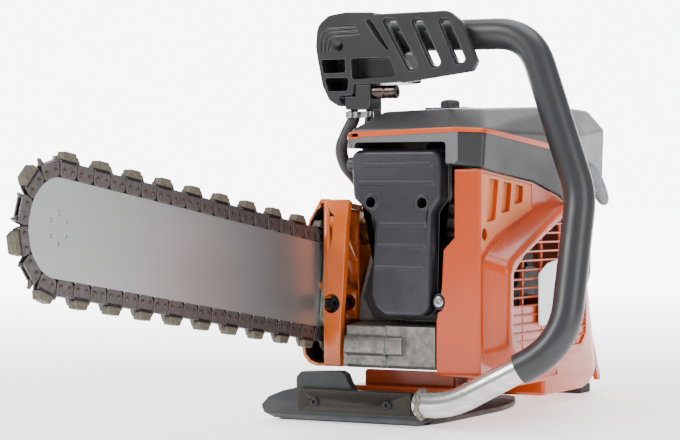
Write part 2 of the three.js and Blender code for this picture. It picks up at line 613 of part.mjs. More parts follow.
piece('starter_cover', ORANGE, cut(
  join(
    cut(join(prism('y', starterOutline, 32, SIDE_Y), voluteOuter), starterInner, voluteInner),
    rod('y', 0, CRANK_Z, 15, 88, 94),
    rod('y', 0, CRANK_Z, 5, 61, 90, 14),
    pullRod(-44, -13, 7, 12),
  ),
  ...grilleHoles.filter((hole) => hole),
  ...sideSlots,
  pullRod(-70, 0, 2.6, 10),
  rod('x', 31, 111, 9.6, 90, 130),
  prism('x', [[20, 100], [33, 100], [36, 112], [36, 157], [50, 168], [50, 240], [20, 240]], 60, 130),
  rod('y', 101, 171, 4.5, 73.4, 80, 16),
  prism('x', [[20, 30], [44, 30], [44, 44], [20, 44]], -200, 200),
));
piece('label_plate', WHITE_PLATE, prism('y', [
  [32, 88], [-30, 88], [-30, 149], [14, 143], [32, 135],
], GRILLE_Y + GAP, GRILLE_Y + 1.6));

const fanBlades = Array.from({ length: 12 }, (_, i) => {
  const blade = new THREE.BoxGeometry(34, 10, 3);
  blade.translate(39, 55, 0);
  blade.rotateY((2 * Math.PI * i) / 12);
  blade.translate(0, 0, CRANK_Z);
  return solidOf(blade);
});
piece('flywheel', CAST_ALUMINIUM, cut(
  join(rod('y', 0, CRANK_Z, 57, 33, 51, 28), rod('y', 0, CRANK_Z, 16, 30, 54), ...fanBlades),
  rod('y', 0, CRANK_Z, 8.4, 20, 70, 16),
));
piece('starter_pulley', BLACK_PLASTIC, cut(
  join(
    rod('y', 0, CRANK_Z, 32, 64, 66), rod('y', 0, CRANK_Z, 26, 65, 73), rod('y', 0, CRANK_Z, 32, 72, 74),
  ),
  rod('y', 0, CRANK_Z, 5.4, 50, 90, 14),
));
const gripAxis = new THREE.Vector3(-0.766, 0, -0.643).normalize();
const gripLine = new THREE.LineCurve3(
  gripCentre.clone().addScaledVector(gripAxis, -30), gripCentre.clone().addScaledVector(gripAxis, 30));
piece('starter_grip', GRIP_GREY, cut(
  join(tube(gripLine, 7.6, 1, 12), pullRod(-12, 0, 5.4, 12)),
  pullRod(-20, -2, 2.1, 10),
));
piece('starter_rope', RUBBER, pullRod(-66, -2.5, 1.7, 8));

// ---- Clutch, drum and drive sprocket ------------------------------------------------------
const shoeSlots = Array.from({ length: 3 }, (_, i) => {
  const slot = new THREE.BoxGeometry(24, 40, 4);
  slot.translate(26, -73, 0);
  slot.rotateY((2 * Math.PI * i) / 3);
  slot.translate(0, 0, CRANK_Z);
  return solidOf(slot);
});
piece('centrifugal_clutch', CHAIN_STEEL, cut(
  rod('y', 0, CRANK_Z, DRUM_RADIUS - 4.5, -80, -66, 24),
  ...shoeSlots,
  rod('y', 0, CRANK_Z, 8.4, -90, -60, 16),
));
piece('clutch_drum', CHAIN_STEEL, cut(
  rod('y', 0, CRANK_Z, DRUM_RADIUS, -84, -65, 28),
  rod('y', 0, CRANK_Z, DRUM_RADIUS - 2.2, -81.4, -60, 28),
  rod('y', 0, CRANK_Z, 8.5, -90, -60, 16),
));
piece('drive_sprocket', BAR_STEEL, cut(
  join(
    rod('y', 0, CRANK_Z, 14, -98.4, -84.3, 16),
    rod('y', 0, CRANK_Z, 22, -98.4, -96.4, 24),
    rod('y', 0, CRANK_Z, 22, -88, -86, 24),
  ),
  rod('y', 0, CRANK_Z, 8.5, -110, -80, 16),
));

// ---- Guide bar, nose sprocket and chain, in the bar's own tilted frame --------------------
const barFrame = new THREE.Group();
barFrame.position.set(0, BAR_Y, CRANK_Z);
barFrame.rotation.y = -BAR_TILT;
object.add(barFrame);

const arc = (u, v, radius, start, end, count) => Array.from({ length: count + 1 }, (_, i) => {
  const angle = start + ((end - start) * i) / count;
  return [u + radius * Math.cos(angle), v + radius * Math.sin(angle)];
});
const HALF_TURN = Math.PI / 2;
const barOutline = [
  [BAR_TAIL, -30], [RAIL_END + 6, -BAR_HALF],
  ...arc(BAR_REACH, 0, BAR_HALF, -HALF_TURN, HALF_TURN, 24),
  [RAIL_END + 6, BAR_HALF], [BAR_TAIL, 30],
];
const nosePocket = cut(rod('y', BAR_REACH, 0, 41, -1, 1, 32), rod('y', BAR_REACH, 0, 16.5, -2, 2, 24));
const noseHoles = Array.from({ length: 6 }, (_, i) => {
  const angle = (Math.PI / 3) * (i + 0.4);
  return rod('y', BAR_REACH + 11.5 * Math.cos(angle), 11.5 * Math.sin(angle), 1.5, -5, 5, 10);
});
const studSlot = prism('y', [
  ...arc(BAR_STUDS[1] + 8, 0, 4.6, -HALF_TURN, HALF_TURN, 6),
  ...arc(BAR_STUDS[0] - 6, 0, 4.6, HALF_TURN, 3 * HALF_TURN, 6),
], -5, 5);
piece('guide_bar', BAR_STEEL, cut(
  prism('y', barOutline, -BAR_THICK / 2, BAR_THICK / 2),
  nosePocket, ...noseHoles, studSlot,
), barFrame);
const noseTeeth = Array.from({ length: 2 * NOSE_TEETH }, (_, i) => {
  const angle = (Math.PI * i) / NOSE_TEETH;
  const radius = i % 2 ? 33 : 37.4;
  return [BAR_REACH + radius * Math.cos(angle), radius * Math.sin(angle)];
});
piece('nose_sprocket', CHAIN_STEEL,
  cut(prism('y', noseTeeth, -0.7, 0.7), rod('y', BAR_REACH, 0, 17, -2, 2, 24)), barFrame);

// The rivet line: round the sprocket, out to the bar's rails, along them and round the nose.
const NOSE_LINE = BAR_HALF + RIVET_HEIGHT;
const railAngle = Math.atan2(NOSE_LINE, RAIL_END)
  + Math.acos(SPROCKET_RADIUS / Math.hypot(NOSE_LINE, RAIL_END));
const rivetLine = new THREE.CurvePath();
const flat = (u, v) => new THREE.Vector3(u, 0, v);
const bend = (u, radius, from, to) => {
  const middle = [];
  for (let i = 0; i <= 24; i += 1) {
    const angle = from + ((to - from) * i) / 24;
    middle.push(flat(u + radius * Math.cos(angle), radius * Math.sin(angle)));
  }
  return middle;
};
const corners = [
  flat(RAIL_END, NOSE_LINE),
  ...bend(BAR_REACH, NOSE_LINE, HALF_TURN, -HALF_TURN),
  flat(RAIL_END, -NOSE_LINE),
  ...bend(0, SPROCKET_RADIUS, -railAngle, -2 * Math.PI + railAngle),
];
corners.forEach((point, i) => {
  rivetLine.add(new THREE.LineCurve3(point, corners[(i + 1) % corners.length]));
});
const outer = [];
const inner = [];
for (let i = 0; i < LINK_COUNT; i += 1) {
  const ends = [0.06, 0.15, 0.85, 0.94].map((part) => rivetLine.getPoint((i + part) / LINK_COUNT));
  const run = ends[3].clone().sub(ends[0]).normalize();
  const rise = (point, height) => [point.x - run.z * height, point.z + run.x * height];
  const top = i % 2 ? SEGMENT_RISE : PLATE_RISE;
  outer.push(rise(ends[0], top), rise(ends[3], top));
  inner.push(rise(ends[1], -PLATE_DROP + 0.6), rise(ends[2], -PLATE_DROP + 0.6));
}
const chainHalf = CHAIN_WIDTH / 2;
piece('saw_chain', CHAIN_STEEL, cut(
  prism('y', outer, -chainHalf, chainHalf),
  loft('y', [[-chainHalf - 1, inner], [chainHalf + 1, inner]]),
), barFrame);

piece('bar_pad', BAR_STEEL, cut(
  box(BAR_TAIL + 6, 101, 3.1, 7.4, -37.4, 37.4),
  ...BAR_STUDS.map((u) => rod('y', u, 0, 4.5, 0, 20, 12)),
), barFrame);

// ---- Chain guard: the cast arm with its studs, the outer half, nuts and tensioner ---------
const guardOutline = [
  [MOUTH_X, 50], [MOUTH_X, 202], [50, 197], [-5, 178], [-45, 160], [-62, 130], [-62, 95],
  [-40, 60], [20, 44],
].reverse();
const guardInside = [
  [MOUTH_X + 10, 53.4], [MOUTH_X + 10, 199], [51, 193.8], [-3.6, 175], [-43, 157], [-58.8, 129],
  [-58.8, 96], [-38, 63], [20, 47.2],
].reverse();
const onBar = (u) => [u * Math.cos(BAR_TILT), CRANK_Z + u * Math.sin(BAR_TILT)];
const SEAM_Y = -88;
const armTray = cut(prism('y', guardOutline, SEAM_Y, -79), prism('y', guardInside, -95, -84.6));
const armFlange = prism('x', [
  [-84, 52], [-68, 50], [-68, 64], [-67, 99], [-65, 117], [-62, 177], [-59, 199], [-62, 201.5],
  [-81, 201.5], [-82, 195.5], [-79, 194.5], [-77.5, 190], [-74, 187], [-77, 163], [-78, 157],
  [-82, 155.5], [-82, 113], [-84, 88],
], MOUTH_X - 7, MOUTH_X);
const armRibs = [
  [[60, 196], [104, 200], [104, 195], [60, 190]],
  [[66, 190], [71, 190], [71, 92], [66, 92]],
  [[70, 150], [104, 186], [104, 180], [70, 144]],
  [[66, 124], [104, 124], [104, 119], [66, 119]],
].map((outline) => prism('y', outline, -80, -68));
piece('bar_guard_arm', ORANGE, join(
  cut(
    join(armTray, armFlange, ...armRibs),
    rod('y', 0, CRANK_Z, 42, -90, -60, 28),
    rod('x', -77, 107, 8.8, 90, 120),
    rod('x', -77, 107, 7.6, 54, 98, 16),
  ),
  ...BAR_STUDS.map((u) => rod('y', ...onBar(u), 4, -118.5, -80, 12)),
));
const clipped = (outline, roof, floor, back, front) =>
  outline.map(([x, z]) => [Math.min(Math.max(x, back), front), Math.min(Math.max(z, floor), roof)]);
const guardShell = loft('y', [
  [SEAM_Y - GAP, guardOutline],
  [-93, clipped(guardOutline, 194, 47, -60, MOUTH_X)],
  [-100, clipped(guardOutline, 183, 52, -57, MOUTH_X)],
  [-106, clipped(guardOutline, 163, 58, -52, MOUTH_X)],
  [-109, clipped(guardOutline, 156, 72, -46, MOUTH_X)],
]);
const guardHollow = loft('y', [
  [-80, guardInside],
  [-92, clipped(guardInside, 191.5, 50.5, -57, MOUTH_X + 10)],
  [-98.5, clipped(guardInside, 180.5, 55.5, -54, MOUTH_X + 10)],
  [-103.4, clipped(guardInside, 161, 61, -49, MOUTH_X + 10)],
  [-106, clipped(guardInside, 154, 74, -43, MOUTH_X + 10)],
]);
piece('bar_guard_outer', ORANGE, cut(
  guardShell, guardHollow,
  ...BAR_STUDS.map((u) => rod('y', ...onBar(u), 4.5, -120, -100, 12)),
));
BAR_STUDS.forEach((u, i) => {
  const [x, z] = onBar(u);
  piece(['bar_nut_rear', 'bar_nut_front'][i], BAR_STEEL, cut(
    join(rod('y', x, z, 11, -111.2, -109.3, 18), rod('y', x, z, 8.2, -117.4, -111, 6)),
    rod('y', x, z, 4.4, -130, -105, 12),
  ));
});
piece('tensioner_screw', BLACK_STEEL, cut(
  join(rod('x', -77, 107, 4.2, 70, 92, 12), rod('x', -77, 107, 7, 84, 95.4, 16)),
  rod('x', -77, 107, 3.2, 90, 97, 6),
));

// ---- Vibration spring between the skid and the chassis ------------------------------------
piece('isolator_spring', CHAIN_STEEL, rod('z', 30, -25, 13, SKID_THICK + GAP, 27.7, 16));

export default object;
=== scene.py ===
"""Petrol cutter with a diamond chain on a guide bar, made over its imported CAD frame.

Every piece has its own section: sizes in millimetres, colours, mesh, material, and the CAD body that it
rides on. Meshes are in metres, in the frame's own axes: +X along the bar, +Y to the starter side, +Z up.
"""
from math import acos, atan2, cos, pi, radians, sin, tan

import bmesh
import bpy
from mathutils import Matrix, Vector


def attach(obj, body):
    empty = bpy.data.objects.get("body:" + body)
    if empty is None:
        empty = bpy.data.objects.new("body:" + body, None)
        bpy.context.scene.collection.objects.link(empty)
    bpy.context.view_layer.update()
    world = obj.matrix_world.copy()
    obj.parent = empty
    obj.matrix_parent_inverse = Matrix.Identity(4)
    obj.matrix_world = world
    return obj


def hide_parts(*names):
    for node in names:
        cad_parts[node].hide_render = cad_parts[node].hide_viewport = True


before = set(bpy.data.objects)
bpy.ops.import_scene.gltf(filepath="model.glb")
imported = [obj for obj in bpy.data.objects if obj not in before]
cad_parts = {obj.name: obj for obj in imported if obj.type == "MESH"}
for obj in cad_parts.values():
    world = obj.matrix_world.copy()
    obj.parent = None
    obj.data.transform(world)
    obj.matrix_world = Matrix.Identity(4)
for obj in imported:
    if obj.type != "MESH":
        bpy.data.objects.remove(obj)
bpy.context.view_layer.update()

# ---- Camera ----------------------------------------------------------------------------------
# Low and far away in front of the bar's nose, 28 degrees round towards the starter side, with a
# long lens, so the bar comes towards the viewer and the fan housing shows on the right.
camera = bpy.data.objects.new("camera", bpy.data.cameras.new("camera"))
bpy.context.scene.collection.objects.link(camera)
bpy.context.scene.camera = camera
camera.data.sensor_width = 36.0
camera.data.lens = 120.18
camera.data.clip_end = 20.0
camera.location = (1.91777, 0.896386, 0.210)
sight = Vector((-cos(radians(28.0)), -sin(radians(28.0)), -tan(radians(0.757))))
camera.rotation_euler = sight.to_track_quat("-Z", "Y").to_euler()

# ---- Guide bar -------------------------------------------------------------------------------
# Ground laminated steel, satin grey, with the faint long streaks of its last grinding and six
# small holes round the nose bearing. It points eight degrees up from the crank axis.
MM = 0.001
BAR_TILT = radians(8.0)
BAR_FROM = Vector((0.0, -92.3, 109.4))
BAR_REACH = 517.7
BAR_HALF = 38.2
BAR_THICK = 4.6
NOSE_HOLES, NOSE_HOLE_RING, NOSE_HOLE_RADIUS = 6, 11.5, 1.9
NOSE_ROOM, NOSE_HUB = 41, 16.5
THROUGH = 5


def outline(*corners, steps=6):
    """A closed outline from (u, v, radius) corners in millimetres, each rounded to its radius."""
    ring = []
    for i, (u, v, radius) in enumerate(corners):
        here = Vector((u, v))
        to_last = Vector(corners[i - 1][:2]) - here
        to_next = Vector(corners[(i + 1) % len(corners)][:2]) - here
        if radius <= 0:
            ring.append((u, v))
            continue
        half = to_last.angle(to_next) / 2
        reach = min(radius / tan(half), 0.49 * min(to_last.length, to_next.length))
        bisector = (to_last.normalized() + to_next.normalized()).normalized()
        centre = here + bisector * (reach / cos(half))
        first = here + to_last.normalized() * reach - centre
        last = here + to_next.normalized() * reach - centre
        turn = atan2(first.x * last.y - first.y * last.x, first.dot(last))
        for k in range(steps + 1):
            arm = Matrix.Rotation(turn * k / steps, 2) @ first
            ring.append((centre.x + arm.x, centre.y + arm.y))
    return ring


def circle(u, v, radius, sides=32):
    """A round outline in millimetres."""
    angles = [2 * pi * i / sides for i in range(sides)]
    return [(u + radius * cos(a), v + radius * sin(a)) for a in angles]


def placing(axis):
    """How (u, v, height along the axis) becomes (x, y, z)."""
    return {"x": lambda u, v, h: (h, u, v), "y": lambda u, v, h: (u, h, v),
            "z": lambda u, v, h: (u, v, h)}[axis]


def slab(axis, ring, low, high, rim=0.0, steps=3):
    """A solid of that outline from low to high along an axis, with both its rims rounded."""
    place = placing(axis)
    bm = bmesh.new()
    floor_face = bm.faces.new([bm.verts.new(place(u, v, low)) for u, v in ring])
    raised = bmesh.ops.extrude_face_region(bm, geom=[floor_face])["geom"]
    tops = [item for item in raised if isinstance(item, bmesh.types.BMVert)]
    bmesh.ops.translate(bm, verts=tops, vec=Vector(place(0, 0, high - low)))
    bm.normal_update()
    if rim > 0:
        caps = [f for f in bm.faces if len(f.verts) == len(ring) and len(ring) != 4
                or abs(f.normal.dot(Vector(place(0, 0, 1)))) > 0.99]
        edges = list({e for f in caps for e in f.edges})
        bmesh.ops.bevel(bm, geom=edges, offset=rim, segments=steps, profile=0.5, affect="EDGES")
    return solid(bm)


def solid(bm, name="solid"):
    """The bmesh, in millimetres, as an object in metres."""
    bmesh.ops.recalc_face_normals(bm, faces=bm.faces)
    bmesh.ops.scale(bm, vec=(MM, MM, MM), verts=bm.verts)
    mesh = bpy.data.meshes.new(name)
    bm.to_mesh(mesh)
    bm.free()
    obj = bpy.data.objects.new(name, mesh)
    bpy.context.scene.collection.objects.link(obj)
    return obj


SHADING_SLACK = 8.0


def bake(obj):
    """Makes the object's modifiers part of its mesh."""
    bpy.context.view_layer.update()
    shown = obj.evaluated_get(bpy.context.evaluated_depsgraph_get())
    obj.data = bpy.data.meshes.new_from_object(shown)
    obj.modifiers.clear()
    return obj


def combine(base, others, how):
    """Joins the others to the base, or cuts them out of it."""
    for other in others:
        step = base.modifiers.new(how, "BOOLEAN")
        step.operation = how
        step.solver = "EXACT"
        step.object = other
    bake(base)
    for other in others:
        bpy.data.objects.remove(other)
    return base


def union(base, *others):
    return combine(base, others, "UNION")


def cut(base, *others):
    return combine(base, others, "DIFFERENCE")


def finished(obj, name, material, edge=0.2, sharp=32.0):
    """Names a solid, softens its edges by edge millimetres, shades it and gives it its material."""
    obj.name = obj.data.name = name
    if edge > 0:
        soften = obj.modifiers.new("edges", "BEVEL")
        soften.width = edge * MM
        soften.segments = 2
        soften.limit_method = "ANGLE"
        soften.angle_limit = radians(sharp)
        soften.use_clamp_overlap = False
    obj.data.shade_smooth()
    flatten = obj.modifiers.new("normals", "WEIGHTED_NORMAL")
    flatten.keep_sharp = True
    bake(obj)
    obj.data.set_sharp_from_angle(angle=radians(sharp + SHADING_SLACK))
    obj.data.materials.clear()
    obj.data.materials.append(material)
    return obj


def carried(obj, body):
    """Attaches a piece to the body that it rides on."""
    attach(obj, body)


def piece(obj, name, material, body, stands_for=(), edge=0.35, sharp=32.0):
    """Finishes a solid as a piece of the object, in place of the CAD nodes that it stands for."""
    finished(obj, name, material, edge, sharp)
    if stands_for:
        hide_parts(*stands_for)
    carried(obj, body)
    return obj


def rgb(code):
    """Linear colour from an sRGB hex code."""
    parts = [int(code[i:i + 2], 16) / 255 for i in (0, 2, 4)]
    linear = [c / 12.92 if c <= 0.04045 else ((c + 0.055) / 1.055) ** 2.4 for c in parts]
    return (*linear, 1.0)


def node(tree, kind, inputs=None, **settings):
    """One shader node. inputs are its sockets by name or number, as values or as links."""
    made = tree.nodes.new(kind)
    for key, value in settings.items():
        setattr(made, key, value)
    for key, value in (inputs or {}).items():
        if isinstance(value, bpy.types.NodeSocket):
            tree.links.new(value, made.inputs[key])
        else:
            made.inputs[key].default_value = value
    return made


WEAR_REACH = 0.9


def surface(name, tone, second, patch, rough, metal=0.0, spread=0.08, grain=0.3, depth=0.0,
            stretch=(1, 1, 1), coat=0.0, worn=None, specular=0.5):
    """A procedural finish. Two tones mix in patches of that size in mm, roughness varies with them,
    and a grain of that size and depth in mm stands on it. worn is the tone of its rubbed edges."""
    material = bpy.data.materials.new(name)
    material.use_nodes = True
    tree = material.node_tree
    shader = tree.nodes["Principled BSDF"]
    where = node(tree, "ShaderNodeTexCoord").outputs["Object"]
    along = node(tree, "ShaderNodeMapping", {"Vector": where, "Scale": stretch}).outputs[0]
    blotch = node(tree, "ShaderNodeTexNoise", {
        "Vector": along, "Scale": 1 / (patch * MM), "Detail": 5.0, "Roughness": 0.6}).outputs[0]
    fine = node(tree, "ShaderNodeTexNoise", {
        "Vector": along, "Scale": 1 / (grain * MM), "Detail": 3.0}).outputs[0]
    mix = node(tree, "ShaderNodeMapRange", {
        "Value": blotch, "From Min": 0.35, "From Max": 0.65}).outputs[0]
    tint = node(tree, "ShaderNodeMix", {
        "Factor": mix, "A": rgb(tone), "B": rgb(second)}, data_type="RGBA").outputs["Result"]
    if worn:
        softer = node(tree, "ShaderNodeBevel", {"Radius": WEAR_REACH * MM}, samples=4).outputs[0]
        facing = node(tree, "ShaderNodeNewGeometry").outputs["Normal"]
        flatness = node(tree, "ShaderNodeVectorMath", {0: softer, 1: facing},
                        operation="DOT_PRODUCT").outputs["Value"]
        patchy = node(tree, "ShaderNodeMath", {0: blotch, 1: 0.3}, operation="MULTIPLY").outputs[0]
        ragged = node(tree, "ShaderNodeMath", {0: flatness, 1: patchy}, operation="SUBTRACT").outputs[0]
        rubbed = node(tree, "ShaderNodeMapRange", {
            "Value": ragged, "From Min": 0.79, "From Max": 0.72}).outputs[0]
        tint = node(tree, "ShaderNodeMix", {
            "Factor": rubbed, "A": tint, "B": rgb(worn)}, data_type="RGBA").outputs["Result"]
    sheen = node(tree, "ShaderNodeMapRange", {
        "Value": blotch, "From Min": 0.3, "From Max": 0.7,
        "To Min": rough - spread, "To Max": rough + spread}).outputs[0]
    tree.links.new(tint, shader.inputs["Base Color"])
    tree.links.new(sheen, shader.inputs["Roughness"])
    shader.inputs["Metallic"].default_value = metal
    shader.inputs["Coat Weight"].default_value = coat
    shader.inputs["Coat Roughness"].default_value = 0.12
    shader.inputs["Specular IOR Level"].default_value = specular
    if depth > 0:
        bump = node(tree, "ShaderNodeBump", {
            "Height": fine, "Distance": depth * MM, "Strength": 1.0}).outputs[0]
        tree.links.new(bump, shader.inputs["Normal"])
    return material


def on_bar(obj):
    """Turns a solid made along its own x axis into the bar's place."""
    obj.data.transform(Matrix.Translation(BAR_FROM * MM) @ Matrix.Rotation(-BAR_TILT, 4, "Y"))
    return obj


nose_arc = [(BAR_REACH + BAR_HALF * cos(a), BAR_HALF * sin(a))
            for a in [-pi / 2 + pi * i / 40 for i in range(41)]]
bar = slab("y", [(50, -30), (76, -BAR_HALF)] + nose_arc + [(76, BAR_HALF), (50, 30)],
           -BAR_THICK / 2, BAR_THICK / 2)
nose_holes = [slab("y", circle(BAR_REACH + NOSE_HOLE_RING * cos(a), NOSE_HOLE_RING * sin(a),
                               NOSE_HOLE_RADIUS, 20), -THROUGH, THROUGH)
              for a in [2 * pi / NOSE_HOLES * (i + 0.4) for i in range(NOSE_HOLES)]]
nose_slit = cut(slab("y", circle(BAR_REACH, 0, NOSE_ROOM, 64), -1, 1),
                slab("y", circle(BAR_REACH, 0, NOSE_HUB, 48), -2, 2))
stud_slot = slab("y", outline((58, -4.6, 4.5), (104, -4.6, 4.5), (104, 4.6, 4.5), (58, 4.6, 4.5)),
                 -THROUGH, THROUGH)
bar_finish = surface("bar_steel", "b6b9b9", "a9acac", 60, 0.36, metal=0.85, spread=0.05,
                     grain=0.35, depth=0.0015, stretch=(0.06, 1, 1))
piece(on_bar(cut(bar, nose_slit, stud_slot, *nose_holes)), "guide_bar_plate", bar_finish, "saw",
      ["guide_bar"], edge=0.3)

# ---- Diamond chain: side plates, rivets, drive links and segments ------------------------------
# Oiled brown-grey steel plates with coppery rivet heads. Every second pair carries a sintered
# diamond segment on a welded foot, a beige gritty block with sloping ends, a little wider than
# the plates. The pairs between have two low ramps, which lead the segments into the cut.
PITCH = 22.556
LINKS = 56
RIVET_LINE = BAR_HALF + 5.5
SPROCKET_RADIUS = 8 * PITCH / (2 * pi)
RAIL_END = 70.0
PLATE_THICK = 1.55


def chain_places():
    """(x, z, angle) in the bar's frame of the middle of each pair of plates."""
    leave = atan2(RIVET_LINE, RAIL_END) + acos(SPROCKET_RADIUS / Vector((RAIL_END, RIVET_LINE)).length)
    turns = 60
    path = [Vector((RAIL_END, RIVET_LINE))]
    path += [Vector((BAR_REACH + RIVET_LINE * sin(pi * i / turns), RIVET_LINE * cos(pi * i / turns)))
             for i in range(turns + 1)]
    path += [Vector((RAIL_END, -RIVET_LINE))]
    path += [Vector((SPROCKET_RADIUS * cos(a), SPROCKET_RADIUS * sin(a)))
             for a in [-leave - (2 * pi - 2 * leave) * i / turns for i in range(turns + 1)]]
    path += [path[0]]
    lengths = [0.0]
    for a, b in zip(path, path[1:]):
        lengths.append(lengths[-1] + (b - a).length)

    def at(distance):
        distance %= lengths[-1]
        k = max(i for i, reached in enumerate(lengths[:-1]) if reached <= distance)
        share = (distance - lengths[k]) / max(lengths[k + 1] - lengths[k], 1e-9)
        return path[k].lerp(path[k + 1], share)

    places = []
    step = lengths[-1] / LINKS
    for i in range(LINKS):
        back, front = at((i + 0.25) * step), at((i + 0.75) * step)
        run = front - back
        places.append(((back + front) / 2, atan2(run.y, run.x)))
    return places


def repeat(name, places, item, material, every=1, first=0):
    """A piece made by Geometry Nodes: the item stands on each place, turned about Y."""
    mesh = bpy.data.meshes.new(name)
    mesh.from_pydata([p for p, _ in places], [], [])
    turn = mesh.attributes.new("turn", "FLOAT_VECTOR", "POINT")
    for i, (_, euler) in enumerate(places):
        turn.data[i].vector = euler
    obj = bpy.data.objects.new(name, mesh)
    bpy.context.scene.collection.objects.link(obj)
    tree = bpy.data.node_groups.new(name, "GeometryNodeTree")
    face = tree.interface
    face.new_socket("Geometry", in_out="OUTPUT", socket_type="NodeSocketGeometry")
    face.new_socket("Places", in_out="INPUT", socket_type="NodeSocketGeometry")
    sockets = {
        "Item": face.new_socket("Item", in_out="INPUT", socket_type="NodeSocketObject"),
        "Every": face.new_socket("Every", in_out="INPUT", socket_type="NodeSocketInt"),
        "First": face.new_socket("First", in_out="INPUT", socket_type="NodeSocketInt"),
        "Finish": face.new_socket("Finish", in_out="INPUT", socket_type="NodeSocketMaterial"),
    }
    given = tree.nodes.new("NodeGroupInput")
    result = tree.nodes.new("NodeGroupOutput")
    info = node(tree, "GeometryNodeObjectInfo", {"Object": given.outputs["Item"]})
    turned = node(tree, "GeometryNodeInputNamedAttribute", {"Name": "turn"}, data_type="FLOAT_VECTOR")
    spin = node(tree, "FunctionNodeEulerToRotation", {0: turned.outputs["Attribute"]})
    shifted = node(tree, "ShaderNodeMath", {
        0: tree.nodes.new("GeometryNodeInputIndex").outputs[0], 1: given.outputs["First"]},
        operation="SUBTRACT")
    left_over = node(tree, "ShaderNodeMath", {0: shifted.outputs[0], 1: given.outputs["Every"]},
                     operation="FLOORED_MODULO")
    chosen = node(tree, "FunctionNodeCompare", {0: left_over.outputs[0], 1: 0.0},
                  data_type="FLOAT", operation="LESS_EQUAL")
    points = node(tree, "GeometryNodeMeshToPoints", {"Mesh": given.outputs["Places"]})
    placed = node(tree, "GeometryNodeInstanceOnPoints", {
        "Points": points.outputs[0], "Selection": chosen.outputs[0],
        "Instance": info.outputs["Geometry"], "Rotation": spin.outputs[0]})
    real = node(tree, "GeometryNodeRealizeInstances", {"Geometry": placed.outputs[0]})
    painted = node(tree, "GeometryNodeSetMaterial", {
        "Geometry": real.outputs[0], "Material": given.outputs["Finish"]})
    tree.links.new(painted.outputs[0], result.inputs[0])
    use = obj.modifiers.new("repeat", "NODES")
    use.node_group = tree
    use[sockets["Item"].identifier] = item
    use[sockets["Every"].identifier] = every
    use[sockets["First"].identifier] = first
    use[sockets["Finish"].identifier] = material
    bake(obj)
    bpy.data.objects.remove(item)
    return obj


def dome(axis, u, v, radius, low, high, crown, sides=24):
    """A short round solid whose far end is a shallow dome, such as a rivet or screw head."""
    place = placing(axis)
    bm = bmesh.new()
    levels = [(radius, low), (radius, high)]
    levels += [(radius * cos(radians(a)), high + crown * sin(radians(a))) for a in (20, 40, 60, 78)]
    rings = [[bm.verts.new(place(u + r * cos(2 * pi * i / sides), v + r * sin(2 * pi * i / sides), h))
              for i in range(sides)] for r, h in levels]
    bm.faces.new(rings[0])
    for a, b in zip(rings, rings[1:]):
        for i in range(sides):
            j = (i + 1) % sides
            bm.faces.new([a[i], a[j], b[j], b[i]])
    bm.faces.new(rings[-1])
    return solid(bm)


chain_spots = []
for middle, angle in chain_places():
    spot = Matrix.Rotation(-BAR_TILT, 3, "Y") @ Vector((middle.x, 0, middle.y)) + BAR_FROM
    chain_spots.append((spot * MM, (0.0, -(angle + BAR_TILT), 0.0)))
CHAIN_HALF = 2.8
plate_ring = outline((-10.6, 7.3, 1.2), (-10.9, 1.0, 3), (-9.9, -5.2, 5.2), (9.9, -5.2, 5.2),
                     (10.9, 1.0, 3), (10.6, 7.3, 1.2))
plates = union(slab("y", plate_ring, CHAIN_HALF - PLATE_THICK, CHAIN_HALF),
               slab("y", plate_ring, -CHAIN_HALF, PLATE_THICK - CHAIN_HALF))
plate_steel = surface("chain_plate_steel", "5b5556", "484344", 5, 0.38, metal=0.5, spread=0.1,
                      grain=0.5, depth=0.02, worn="8b8178")
chain = repeat("chain_plates", chain_spots, finished(plates, "plate_pair", plate_steel, 0.35),
               plate_steel)
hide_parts("saw_chain")
carried(chain, "saw")

rivet_steel = surface("chain_rivet_steel", "68554a", "4c4039", 3, 0.3, metal=0.9, grain=0.4, depth=0.01)
RIVET_AT, RIVET_RADIUS = 5.64, 2.0
heads = union(*[dome("y", u, 0, RIVET_RADIUS, -CHAIN_HALF - 0.35, CHAIN_HALF + 0.25, 0.5)
                for u in (-RIVET_AT, RIVET_AT)])
rivets = repeat("chain_rivets", chain_spots, finished(heads, "rivet_pair", rivet_steel, 0.1),
                rivet_steel)
carried(rivets, "saw")

drive_steel = surface("chain_drive_steel", "2f2b29", "1f1c1b", 4, 0.42, metal=0.8, grain=0.5,
                      depth=0.02)
DRIVE_HALF = 0.8
tang = outline((-9.6, 3.6, 2), (-9.6, -4.6, 2), (-3.4, -5.0, 1), (-2.2, -10.6, 1.6), (2.6, -10.6, 1.6),
               (3.6, -5.0, 1), (9.6, -4.6, 2), (9.6, 3.6, 2))
drive_spots = []
spots = chain_places()
for (a, turn_a), (b, turn_b) in zip(spots, spots[1:] + spots[:1]):
    turn_b += 2 * pi * round((turn_a - turn_b) / (2 * pi))
    spot = Matrix.Rotation(-BAR_TILT, 3, "Y") @ Vector(((a.x + b.x) / 2, 0, (a.y + b.y) / 2)) + BAR_FROM
    drive_spots.append((spot * MM, (0.0, -((turn_a + turn_b) / 2 + BAR_TILT), 0.0)))
drives = repeat("chain_drive_links", drive_spots,
                finished(slab("y", tang, -DRIVE_HALF, DRIVE_HALF), "drive_link", drive_steel, 0.15),
                drive_steel)
carried(drives, "saw")

FIN_HALF = 1.5
left_fin = outline((-10.5, 6.4, 0.3), (-10.9, 10.2, 0.5), (-9.9, 10.4, 0.4), (-7.2, 6.4, 0.4))
right_fin = outline((5.4, 6.4, 0.4), (9.7, 12.6, 0.6), (10.9, 12.4, 0.5), (10.5, 6.4, 0.3))
fins = repeat("chain_bumper_fins", chain_spots,
              finished(union(*[slab("y", fin, -FIN_HALF, FIN_HALF) for fin in (left_fin, right_fin)]),
                       "fin_pair", plate_steel, 0.25), plate_steel, every=2, first=0)
carried(fins, "saw")

